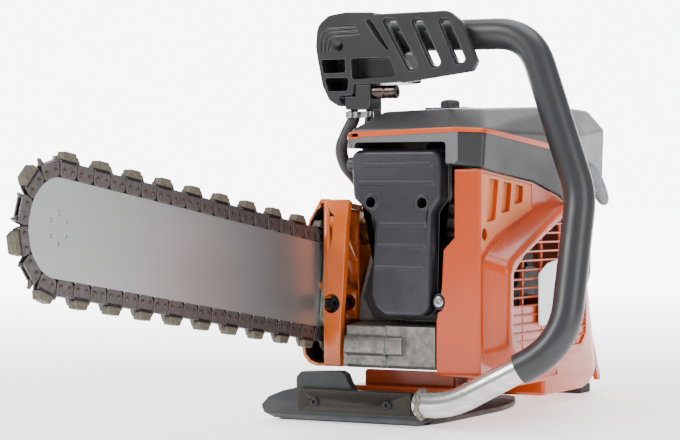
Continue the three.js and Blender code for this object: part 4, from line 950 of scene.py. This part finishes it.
guard_black = surface("black_glass_filled_polyamide", "232225", "1b1a1d", 30, 0.34, spread=0.07,
                      grain=0.6,
                      depth=0.01, worn="6d6c70", specular=0.55)
piece(hand_guard, "hand_guard_moulding", guard_black, "saw", ["hand_guard"], edge=0)
guard_screw = union(dome("x", *GUARD_SCREW, 4.1, 66, 69.6, 1.0, 32),
                    slab("x", circle(*GUARD_SCREW, 2.2), 44, 67))
piece(cut(guard_screw, star_socket("x", *GUARD_SCREW, 1.9, 68, 72)), "hand_guard_screw_head",
      black_oxide, "saw", ["hand_guard_screw"], edge=0.25)

# ---- Front handle: the bent tube, its weld and its sleeve ------------------------------------------
# One aluminium tube of 23 mm, bent round the fan housing and over the engine, left bare and scuffed
# at its foot, where a rough weld bead joins it to the skid. A dark grey foamed sleeve covers the rest.
TUBE_RADIUS, SLEEVE_RADIUS = 11.5, 14
HANDLE = [(116, 17, 21), (121, 50, 21), (108, 152, 76), (65, 150, 206), (50, 95, 350), (51, -72, 351)]
BENDS = (70, 62, 80, 46)


def bent_path(corners, radii, arc_steps=14):
    """Points along straight runs with a smooth bend at each inner corner."""
    corners = [Vector(c) for c in corners]
    points = [corners[0]]
    for i in range(1, len(corners) - 1):
        inward = (corners[i] - corners[i - 1]).normalized()
        onward = (corners[i + 1] - corners[i]).normalized()
        trim = radii[i - 1] * tan(inward.angle(onward) / 2)
        start, end = corners[i] - inward * trim, corners[i] + onward * trim
        for k in range(arc_steps + 1):
            t = k / arc_steps
            points.append(start * (1 - t) ** 2 + corners[i] * 2 * t * (1 - t) + end * t * t)
    points.append(corners[-1])
    return points


def part_of(points, start, end, step=3.0):
    """Evenly spaced points along a line, between two shares of its length."""
    reached = [0.0]
    for a, b in zip(points, points[1:]):
        reached.append(reached[-1] + (b - a).length)
    count = max(2, round(reached[-1] * (end - start) / step))
    found = []
    for i in range(count + 1):
        distance = reached[-1] * (start + (end - start) * i / count)
        k = max(j for j in range(len(points) - 1) if reached[j] <= distance + 1e-9)
        share = (distance - reached[k]) / (reached[k + 1] - reached[k])
        found.append(points[k].lerp(points[k + 1], min(share, 1)))
    return found


handle_line = bent_path(HANDLE, BENDS)
scuffed_tube = surface("scuffed_aluminium_tube", "e4e3df", "bdbbb6", 6, 0.26, metal=0.9, spread=0.1,
                       grain=1.2,
                       depth=0.012, stretch=(1, 0.25, 1), worn="f2f1ee")
piece(tube(part_of(handle_line, 0, 1), TUBE_RADIUS, 40), "front_handle_tube_bent", scuffed_tube, "saw",
      ["front_handle_tube"], edge=0.4, sharp=50)
BEAD_MIDDLE, BEAD_RING, BEAD_STEPS = Vector((116.8, 21.2, 21)), 12.1, 56
bead = [BEAD_MIDDLE + Vector((BEAD_RING * cos(a), 0.9 * sin(5 * a), BEAD_RING * sin(a)))
        for a in [2 * pi * i / BEAD_STEPS for i in range(BEAD_STEPS + 1)]]
bead_swell = [2.1 + 0.5 * sin(i * 2.3) + 0.3 * sin(i * 5.1 + 1) for i in range(BEAD_STEPS + 1)]
weld_metal = surface("weld_metal", "a5a096", "6f695f", 2.2, 0.5, metal=0.8, spread=0.15, grain=0.9,
                     depth=0.12)
piece(tube(bead, 2.2, 12, swell=bead_swell), "handle_weld_bead", weld_metal, "saw",
      edge=0)
sleeve = cut(tube(part_of(handle_line, 0.175, 0.955), SLEEVE_RADIUS, 40),
             tube(part_of(handle_line, 0.15, 0.98), TUBE_RADIUS + 0.2, 40))
foam_sleeve = surface("foamed_rubber_sleeve", "313235", "292a2d", 28, 0.36, spread=0.06, grain=0.7,
                      depth=0.015)
piece(sleeve, "handle_sleeve_foam", foam_sleeve, "saw", ["handle_sleeve"], edge=0.7, sharp=50)

# ---- Water valve, lever and nipple ---------------------------------------------------------------
# A black moulded tap block under the hand guard, with a yellow zinc-plated lever and a dark
# nickel-plated quick nipple whose groove takes the hose coupling.
piece(softened("water_valve"), "water_valve_block", guard_black, "saw", ["water_valve"],
      edge=0.7)
yellow_zinc = surface("yellow_zinc_plate", "b39b50", "8f7636", 4, 0.28, metal=0.9, grain=0.5,
                      depth=0.01, worn="e2d398")
piece(softened("water_valve_lever"), "water_valve_lever_arm", yellow_zinc, "water_lever",
      ["water_valve_lever"],
      edge=0.5)
nickel = surface("dark_nickel", "5b5049", "3a322e", 4, 0.2, metal=0.95, spread=0.08, grain=0.5,
                 depth=0.004,
                 worn="b8a898")
NIPPLE = (68, 299.5)
nipple = union(*[slab("y", circle(*NIPPLE, radius), back, front, rim=rim) for radius, back, front,
                 rim in (
    (3.6, -63, -50, 0), (6.3, -51.6, -40, 0.6), (5.2, -41, -38, 0), (6.2, -39, -28, 0.9))])
piece(cut(nipple, slab("y", circle(*NIPPLE, 2.4), -60, -27)), "water_nipple_quick", nickel, "saw",
      ["water_nipple"], edge=0.3)

# ---- Hoses, their clamps, the elbow and the stay -------------------------------------------------
# Black reinforced rubber hose with its braid just showing, and a thin smooth one beside it. Both are
# fixed at both ends. Bright steel clamps hold them, and a yellow zinc banjo carries the water down.
HOSE_X, WATER_HOSE_RADIUS, BLEED_HOSE_RADIUS = 66, 5.8, 3
thick_line = [(HOSE_X, -73, 282.4), (67, -74, 274), (70, -79, 262), (72, -83.5, 248), (69, -81, 233),
              (60, -75, 221), (51, -72.5, 212), (43, -70.5, 204), (42, -70, 194)]
thin_line = [(HOSE_X, -58, 283), (65, -60, 272), (60, -64.5, 258), (54, -68, 240), (46, -68.6, 226),
             (34, -68.6, 214)]


def smooth_line(knots, steps=9):
    """A smooth curve through the knots."""
    knots = [Vector(k) for k in knots]
    points = []
    for i in range(len(knots) - 1):
        before, a, b, after = knots[max(i - 1, 0)], knots[i], knots[i + 1], knots[min(i + 2,
                                                                                      len(knots) - 1)]
        for k in range(steps):
            t = k / steps
            points.append(0.5 * (2 * a + (b - before) * t + (2 * before - 5 * a + 4 * b - after) * t * t
                                 + (3 * a - before - 3 * b + after) * t ** 3))
    points.append(knots[-1])
    return points


BRAID_STEP = 1.6
WAVES = 2 / 6.28


def braided(name, tone, second):
    """A hose's rubber with a crossed braid just under its skin."""
    skin = surface(name, tone, second, 6, 0.5, grain=0.5, depth=0.02)
    tree = skin.node_tree
    where = node(tree, "ShaderNodeTexCoord").outputs["Object"]
    crossed = []
    for lean in (0.8, -0.8):
        turned = node(tree, "ShaderNodeMapping", {"Vector": where, "Rotation": (lean, 0, 0)}).outputs[0]
        crossed.append(node(tree, "ShaderNodeTexWave", {
            "Vector": turned, "Scale": WAVES / (BRAID_STEP * MM), "Distortion": 0.4},
            bands_direction="Z").outputs[1])
    height = node(tree, "ShaderNodeMath", {0: crossed[0], 1: crossed[1]},
                  operation="MAXIMUM").outputs[0]
    bump = node(tree, "ShaderNodeBump",
                {"Height": height, "Distance": 0.12 * MM, "Strength": 0.7}).outputs[0]
    tree.links.new(bump, tree.nodes["Principled BSDF"].inputs["Normal"])
    return skin


hose_skin = braided("braided_water_hose", "2e2c2d", "3b3938")
piece(tube(smooth_line(thick_line), WATER_HOSE_RADIUS, 28), "water_hose_braided", hose_skin, "saw",
      ["water_hose"],
      edge=0.4, sharp=60)
smooth_rubber = surface("smooth_rubber_hose", "1f1f20", "2b2b2c", 10, 0.4, grain=0.5, depth=0.01)
piece(tube(smooth_line(thin_line), BLEED_HOSE_RADIUS, 20), "bleed_hose_smooth", smooth_rubber, "saw",
      ["bleed_hose"],
      edge=0.3, sharp=60)
for clamp in ("water_hose_clamp", "bleed_hose_clamp"):
    piece(softened(clamp), clamp + "_band", zinc_steel, "saw", [clamp], edge=0.4)
BANJO = (42, 172)
elbow = union(slab("y", circle(*BANJO, 13, 48), -75.6, -64.2, rim=1.6),
              slab("z", circle(42, -69.9, 5.6), 180, 192.4))
elbow = cut(elbow, slab("y", circle(*BANJO, 8, 40), -70, -60))
piece(union(elbow, slab("y", circle(*BANJO, 7.6, 6), -78.4, -72)), "water_elbow_banjo", yellow_zinc,
      "saw", ["water_elbow"], edge=0.5)
piece(softened("handle_stay"), "handle_stay_flat", black_steel, "saw", ["handle_stay"],
      edge=0.5)

# ---- Skid plate, wear plate and their screws ------------------------------------------------------
# Pressed 5 mm steel in black paint, scuffed underneath and round its rim. The wear plate in front is
# bare hot-rolled steel gone brown-black, with two six-lobed screws.
skid_paint = surface("scuffed_black_steel", "242528", "1d1e20", 24, 0.46, metal=0.0, spread=0.1,
                     grain=1.2,
                     depth=0.03, worn="5b5c5e")
piece(softened("skid_plate"), "skid_plate_pressed", skid_paint, "saw", ["skid_plate"],
      edge=0.9,
      sharp=28)
wear_steel = surface("hot_rolled_wear_steel", "262422", "37322a", 1.6, 0.5, metal=0.5, spread=0.12,
                     grain=0.6,
                     depth=0.03, worn="7a7258")
wear_plate = rounded(slab("x", outline((-99, 10, 1), (14.5, 10, 1), (14.5, 31, 1), (-99, 31, 1)), 121.3,
                          127), 0.8)
WEAR_SCREWS = ((-81, 20, "wear_plate_screw_right"), (-8, 20, "wear_plate_screw_left"))
wear_plate = cut(wear_plate, *[slab("x", circle(y, z, 3), 110, 130) for y, z, _ in WEAR_SCREWS])
piece(wear_plate, "wear_plate_bar", wear_steel, "saw", ["wear_plate"], edge=0)
for y, z, screw in WEAR_SCREWS:
    head = union(dome("x", y, z, 4.7, 127.3, 129.4, 1.0, 36), slab("x", circle(y, z, 2.6), 108, 128))
    piece(cut(head, star_socket("x", y, z, 2.3, 128.2, 133)), screw + "_head", black_oxide, "saw",
          [screw],
          edge=0.3)

# ---- Chassis with the fuel tank and tray -----------------------------------------------------------
# One blow-moulded and welded orange polyamide body: the tank behind, the tray under the engine. Its
# surface is glossy, with softly rounded edges.
FUEL_CAP, PURGE_BULB = (-200, 84), (-238, 18)
tank_body = union(
    rounded(loft("z", (10, [(-113, -50), (-113, 38), (-215, 38), (-292, 16), (-296, -50)]),
                 (22, [(-108, -56), (-108, 45), (-228, 45), (-300, 20), (-300, -56)]),
                 (130, [(-112, -56), (-112, 40), (-222, 40), (-268, 16), (-272, -56)])), 5, 4),
    slab("z", outline((-120, -58, 4), (88, -66, 6), (92, -62, 4), (92, 0, 20), (84, 54, 6),
                      (-120, 54, 6)), 28, 33,
         rim=1.2),
    slab("z", outline((-113, 46, 3), (80, 46, 3), (76, 54, 3), (-113, 54, 3)), 32, 43, rim=1),
    slab("x", outline((-60, 32, 1), (30, 32, 1), (30, 46, 3), (-60, 46, 3)), 66, 70),
    slab("z", outline((-113, -50, 4), (-90, -50, 4), (-90, 50, 4), (-113, 50, 4)), 15, 46),
    slab("y", outline((-262, 96, 1), (-305, 12, 3), (-296, 12, 2), (-250, 96, 1)), 19, 24),
    slab("y", circle(*FUEL_CAP, 24, 48), -58.6, -54, rim=1.5))
tank_room = loft("z", (17, [(-118, -46), (-118, 34), (-212, 34), (-284, 13), (-288, -46)]),
                 (121, [(-117, -50), (-117, 34), (-219, 34), (-264, 12), (-267, -50)]))
tank_body = cut(tank_body, slab("y", circle(*FUEL_CAP, 15), -62, -40), tank_room,
                slab("z", circle(*PURGE_BULB, 11.8), 125.5, 135))
blown_orange = surface("blow_moulded_orange", "c64f10", "b9470c", 70, 0.32, spread=0.06, grain=1.0,
                       depth=0.01,
                       coat=0.15)
piece(tank_body, "chassis_tank_body", blown_orange, "saw", ["chassis_tank"], edge=0.8)

# ---- Fuel cap ---------------------------------------------------------------------------------
# Black moulded acetal cap with a grip ridge across it and a knurled rim. It screws into the tank.
CAP_KNURLS, CAP_KNURL_RING = 30, 21.6
rim_knurls = [slab("y", circle(FUEL_CAP[0] + CAP_KNURL_RING * cos(a),
                               FUEL_CAP[1] + CAP_KNURL_RING * sin(a), 1.1, 10), -70, -56)
              for a in [2 * pi * i / CAP_KNURLS for i in range(CAP_KNURLS)]]
cap = cut(slab("y", circle(*FUEL_CAP, 21, 72), -69, -56.4, rim=1.2), *rim_knurls)
cap = union(cap, slab("y", circle(*FUEL_CAP, 14), -57, -46),
            slab("y", outline((-219, 80, 3), (-181, 80, 3), (-181, 88, 3), (-219, 88, 3)), -73, -68.5,
                 rim=1))
acetal = surface("black_acetal", "222224", "2b2b2d", 12, 0.38, spread=0.06, grain=0.6, depth=0.008,
                 worn="55555a")
piece(cap, "fuel_cap_knurled", acetal, "fuel_lid", ["fuel_cap"], edge=0.4)

# ---- Rear foot --------------------------------------------------------------------------------
# A black rubber block under the tank, with rounded edges. Four grooves run across its sole
# from side to side.
foot = rounded(slab("z", outline((-292, -46, 4), (-262, -46, 4), (-262, 18, 4), (-292, 18, 4)), 0, 9.7),
               1.2)
foot = cut(foot, *[slab("y", [(x, -1), (x + 2, -1), (x + 2, 1.4), (x, 1.4)], -50, 22)
                   for x in (-287, -281, -275, -269)])
foot_rubber = surface("black_rubber", "1c1c1c", "262626", 8, 0.7, grain=0.8, depth=0.03)
piece(foot, "rear_foot_block", foot_rubber, "saw", ["rear_foot"], edge=0.4)

# ---- Rear handle with its trigger, lockout, stop switch and choke knob ---------------------------------
# A closed loop in dark grey polyamide, with a finely textured rubber inlay round its grip. Its
# controls are black acetal, and the stop switch is red.
HANDLE_RIGHT, HANDLE_LEFT = -43, -8
loop_ring = outline((-256, 246, 5), (-310, 237, 25), (-346, 216, 25), (-357, 198, 18), (-356, 122, 18),
                    (-340, 98, 18), (-287, 90, 3), (-273, 130.6, 2), (-256, 130.6, 2))
finger_ring = outline((-276, 207, 4), (-300, 205, 12), (-328, 192, 14), (-337, 180, 12),
                      (-337, 130, 12),
                      (-328, 118, 10), (-294, 112, 8), (-282, 138, 8), (-276, 146, 5))
loop = rounded(cut(slab("y", loop_ring, HANDLE_RIGHT, HANDLE_LEFT), slab("y", finger_ring, -60, 10)),
               6.5, 5, 40)
loop = cut(loop, slab("z", [(-319, -32), (-276.5, -32), (-276.5, -19), (-319, -19)], 190, 220.5),
           slab("z", [(-304, -30), (-264, -30), (-264, -21), (-304, -21)], 223.5, 252))
loop_skin = surface("soft_touch_polyamide", "363538", "2e2d30", 26, 0.5, spread=0.06, grain=0.45,
                    depth=0.02,
                    worn="6d6c70")
piece(loop, "rear_handle_loop", loop_skin, "saw", ["rear_handle"], edge=0.5)
trigger = rounded(slab("y", outline((-279, 218, 1), (-288, 218, 2), (-309, 206, 4), (-311, 196, 3),
                                    (-303, 190, 4),
                                    (-291, 197, 8), (-279, 207, 2)), -31, -20), 1.4, 3)
piece(trigger, "throttle_trigger_lever", acetal, "trigger", ["throttle_trigger"],
      edge=0.2)
lockout = rounded(slab("y", outline((-266, 232, 1), (-300, 229.5, 1), (-300, 241, 3), (-286, 249, 6),
                                    (-266, 247, 2)),
                       -29.4, -21.6), 1.2, 3)
piece(lockout, "throttle_lockout_lever", acetal, "lockout", ["throttle_lockout"],
      edge=0.2)
red_plastic = surface("red_acetal", "b3261e", "a01f18", 8, 0.35, grain=0.5, depth=0.006)
switch = rounded(slab("z", outline((-271, -7.7, 1), (-262, -7.7, 1), (-262, -4.2, 1), (-271, -4.2, 1)),
                      226, 233), 0.6)
switch = cut(switch, slab("z", [(-272, -8), (-261, -8), (-261, -3), (-272, -3)], 232.8, 233.4))
piece(switch, "stop_switch_slider", red_plastic, "stop", ["stop_switch"], edge=0.2)
FLUTES, FLUTE_RING = 10, 9.6
flutes = [slab("x", circle(CHOKE[0] + FLUTE_RING * cos(a), CHOKE[1] + FLUTE_RING * sin(a), 1.5, 12),
               -275, -255) for a in [2 * pi * i / FLUTES for i in range(FLUTES)]]
knob = cut(slab("x", circle(*CHOKE, 9, 48), -272, -258, rim=1.4), *flutes)
piece(union(knob, slab("x", circle(*CHOKE, 3), -259, -240)), "choke_knob_fluted", acetal, "choke",
      ["choke_knob"],
      edge=0.3)

# ---- Purge bulb ---------------------------------------------------------------------------------
# A thin smoky rubber dome in a rim, set in the top of the tank. The thumb presses it to fill the
# carburettor.
bulb = union(slab("z", circle(*PURGE_BULB, 11, 40), 130.3, 131.6),
             dome("z", *PURGE_BULB, 9.6, 131, 133, 6, 40))
smoky_rubber = surface("smoky_bulb_rubber", "2a2a2c", "343437", 6, 0.25, grain=0.6, depth=0.006,
                       specular=0.6)
piece(bulb, "purge_bulb_dome", smoky_rubber, "saw", ["purge_bulb"], edge=0.3)

# ---- Vibration spring ------------------------------------------------------------------------------
# A cold-wound steel coil spring in black phosphate, with four and a half turns. It stands between
# the skid and the tray.
SPRING_X, SPRING_Y, SPRING_RADIUS, WIRE_RADIUS = 30, -25, 10.6, 1.9
COIL_FOOT, COIL_RISE, SPRING_TURNS, COIL_STEPS = 7.4, 18.2, 4.5, 160
coil = [(SPRING_X + SPRING_RADIUS * cos(a), SPRING_Y + SPRING_RADIUS * sin(a),
         COIL_FOOT + COIL_RISE * a / (2 * pi * SPRING_TURNS))
        for a in [2 * pi * SPRING_TURNS * i / COIL_STEPS for i in range(COIL_STEPS + 1)]]
spring_steel = surface("phosphated_spring_steel", "3c3b3a", "504e4b", 5, 0.45, metal=0.7, grain=0.6,
                       depth=0.015)
piece(tube(coil, WIRE_RADIUS, 12), "isolator_spring_coil", spring_steel, "saw", ["isolator_spring"],
      edge=0)

# ---- Crankshaft, connecting rod and piston ------------------------------------------------------------
# Forged steel turned on its journals, a forged rod, and a cast aluminium piston with two ring
# grooves. All of it is clean bright metal under a film of oil.
forged = surface("forged_and_turned_steel", "a9aaa9", "7f7f7e", 8, 0.34, metal=0.95, grain=0.5,
                 depth=0.01,
                 worn="dcdcda")
piece(softened("crankshaft"), "crankshaft_forged", forged, "crank", ["crankshaft"],
      edge=0.7)
piece(softened("connecting_rod"), "connecting_rod_forged", forged, "saw", ["connecting_rod"],
      edge=0.7)
cast_piston = surface("cast_piston_aluminium", "b8b6b0", "8c857a", 9, 0.42, metal=0.85, grain=0.5,
                      depth=0.01,
                      stretch=(1, 1, 6))
CYLINDER_AXIS = (0, -20)
RING_DEPTH_RADIUS, RING_HEIGHT = 25.8, 1.5
piston = cut(softened("piston"), *[
    cut(slab("z", circle(*CYLINDER_AXIS, 30), z, z + RING_HEIGHT),
        slab("z", circle(*CYLINDER_AXIS, RING_DEPTH_RADIUS), 180, 230)) for z in (214, 218)])
piece(piston, "piston_with_rings", cast_piston, "saw", ["piston"], edge=0.4)

# ---- Cylinder, spark plug and carburettor ---------------------------------------------------------------
# The cylinder is cast aluminium with fins. The plug's black cap and the carburettor's machined body
# stand on it.
piece(softened("cylinder"), "cylinder_finned", die_cast, "saw", ["cylinder"], edge=0.7)
plug = union(slab("z", circle(*CYLINDER_AXIS, 6.2), 230, 244),
             slab("z", circle(*CYLINDER_AXIS, 10.5, 6), 243.4, 252, rim=0.6),
             slab("z", circle(*CYLINDER_AXIS, 8.5), 251, 272, rim=2))
piece(plug, "spark_plug_and_cap", foot_rubber, "saw", ["spark_plug"], edge=0.5)
machined = surface("machined_zinc_alloy", "b9b7b0", "9b9890", 6, 0.34, metal=0.9, grain=0.5, depth=0.01,
                   worn="e3e1dc")
piece(softened("carburettor"), "carburettor_body", machined, "saw", ["carburettor"],
      edge=0.8)

# ---- Air filter --------------------------------------------------------------------------------------
# A block of resin-bonded filter paper, pleated on top. It is the colour of straw, greyed with dust.
# The air filter cover hides it.
paper = surface("filter_paper", "d6cda9", "b5ab88", 12, 0.9, grain=0.6, depth=0.06)
piece(softened("air_filter"), "air_filter_pleated", paper, "saw", ["air_filter"], edge=0.6,
      sharp=60)

# ---- Flywheel and starter pulley -----------------------------------------------------------------------
# Cast aluminium flywheel with its fan blades, and a black moulded pulley that the rope winds on.
# The starter cover and its grille stand over both.
piece(softened("flywheel"), "flywheel_cast", die_cast, "crank", ["flywheel"], edge=0.6)
piece(softened("starter_pulley"), "starter_pulley_moulded", acetal, "pulley", ["starter_pulley"],
      edge=0.4)

# ---- Clutch, drum and sprockets --------------------------------------------------------------------------
# Sintered clutch shoes, a pressed drum blued by heat, and hardened sprockets that are oiled and
# dark. One sprocket is on the drum and one is in the bar's nose.
sintered = surface("sintered_clutch_steel", "6c6864", "4b4744", 5, 0.45, metal=0.85, grain=0.6,
                   depth=0.02)
piece(softened("centrifugal_clutch"), "clutch_shoes", sintered, "crank", ["centrifugal_clutch"],
      edge=0.5)
blued = surface("heat_blued_drum", "5d5a66", "75685a", 9, 0.35, metal=0.9, grain=0.5, depth=0.01)
piece(softened("clutch_drum"), "clutch_drum_pressed", blued, "drum", ["clutch_drum"],
      edge=0.5)
piece(softened("drive_sprocket"), "drive_sprocket_rim", sintered, "drum", ["drive_sprocket"],
      edge=0.5)
piece(softened("nose_sprocket"), "nose_sprocket_star", sintered, "nose", ["nose_sprocket"],
      edge=0.15)

# ---- Floor and light ---------------------------------------------------------------------------
# A pale floor and a white room. Both glow more strongly in the direction that the camera looks in,
# so the object stands before plain white, and the room is dimmer on the camera's own side.
FLOOR_GLOW, ROOM_GLOW, WALL_GLOW = 1.0, 0.45, 8.0
FLOOR_REACH = 30
floor_mesh = bpy.data.meshes.new("floor")
floor_mesh.from_pydata([(x * FLOOR_REACH, y * FLOOR_REACH, 0) for x,
                        y in ((-1, -1), (1, -1), (1, 1), (-1, 1))], [], [(0, 1, 2, 3)])
floor = bpy.data.objects.new("floor", floor_mesh)
bpy.context.scene.collection.objects.link(floor)
floor_mesh.materials.append(surface("pale_floor", "fafafa", "f8f8f8", 400, 0.7, spread=0.02))
floor_tree = floor_mesh.materials[0].node_tree
glow = floor_tree.nodes["Principled BSDF"].inputs
glow["Emission Color"].default_value = (1, 1, 1, 1)
spot = node(floor_tree, "ShaderNodeNewGeometry").outputs["Position"]
away = node(floor_tree, "ShaderNodeVectorMath", {0: spot}, operation="LENGTH").outputs["Value"]
ahead = node(floor_tree, "ShaderNodeVectorMath", {0: spot}, operation="NORMALIZE").outputs["Vector"]
beyond = node(floor_tree, "ShaderNodeVectorMath", {0: ahead, 1: sight},
              operation="DOT_PRODUCT").outputs["Value"]
far = node(floor_tree, "ShaderNodeMapRange",
           {"Value": away, "From Min": 0.5, "From Max": 3.0}).outputs[0]
straight = node(floor_tree, "ShaderNodeMapRange",
                {"Value": beyond, "From Min": 0.3, "From Max": 0.95}).outputs[0]
both = node(floor_tree, "ShaderNodeMath", {0: far, 1: straight}, operation="MULTIPLY").outputs[0]
shine = node(floor_tree, "ShaderNodeMapRange",
             {"Value": both, "To Min": FLOOR_GLOW, "To Max": WALL_GLOW}).outputs[0]
floor_tree.links.new(shine, glow["Emission Strength"])


def softbox(name, at, aim, width, height, power):
    """A large soft rectangular light."""
    lamp = bpy.data.lights.new(name, "AREA")
    lamp.shape = "RECTANGLE"
    lamp.size = width
    lamp.size_y = height
    lamp.energy = power
    obj = bpy.data.objects.new(name, lamp)
    obj.location = at
    obj.rotation_euler = (Vector(aim) - Vector(at)).to_track_quat("-Z", "Y").to_euler()
    bpy.context.scene.collection.objects.link(obj)


softbox("key", (1.9, -1.5, 1.9), (0.1, 0, 0.15), 1.3, 1.3, 62)
softbox("fill", (1.2, 2.7, 1.2), (0, 0, 0.15), 1.4, 1.6, 34)
softbox("top", (-0.3, 0.2, 2.5), (0, 0, 0), 2.4, 2.0, 60)
world = bpy.data.worlds.new("studio")
bpy.context.scene.world = world
world.use_nodes = True
sky = world.node_tree
around = node(sky, "ShaderNodeTexCoord").outputs["Generated"]
behind = node(sky, "ShaderNodeVectorMath", {0: around, 1: sight},
              operation="DOT_PRODUCT").outputs["Value"]
level = node(sky, "ShaderNodeMapRange", {
    "Value": behind, "From Min": 0.7, "From Max": 0.97, "To Min": ROOM_GLOW,
    "To Max": WALL_GLOW}).outputs[0]
sky.links.new(level, sky.nodes["Background"].inputs["Strength"])
sky.nodes["Background"].inputs["Color"].default_value = (1, 1, 1, 1)
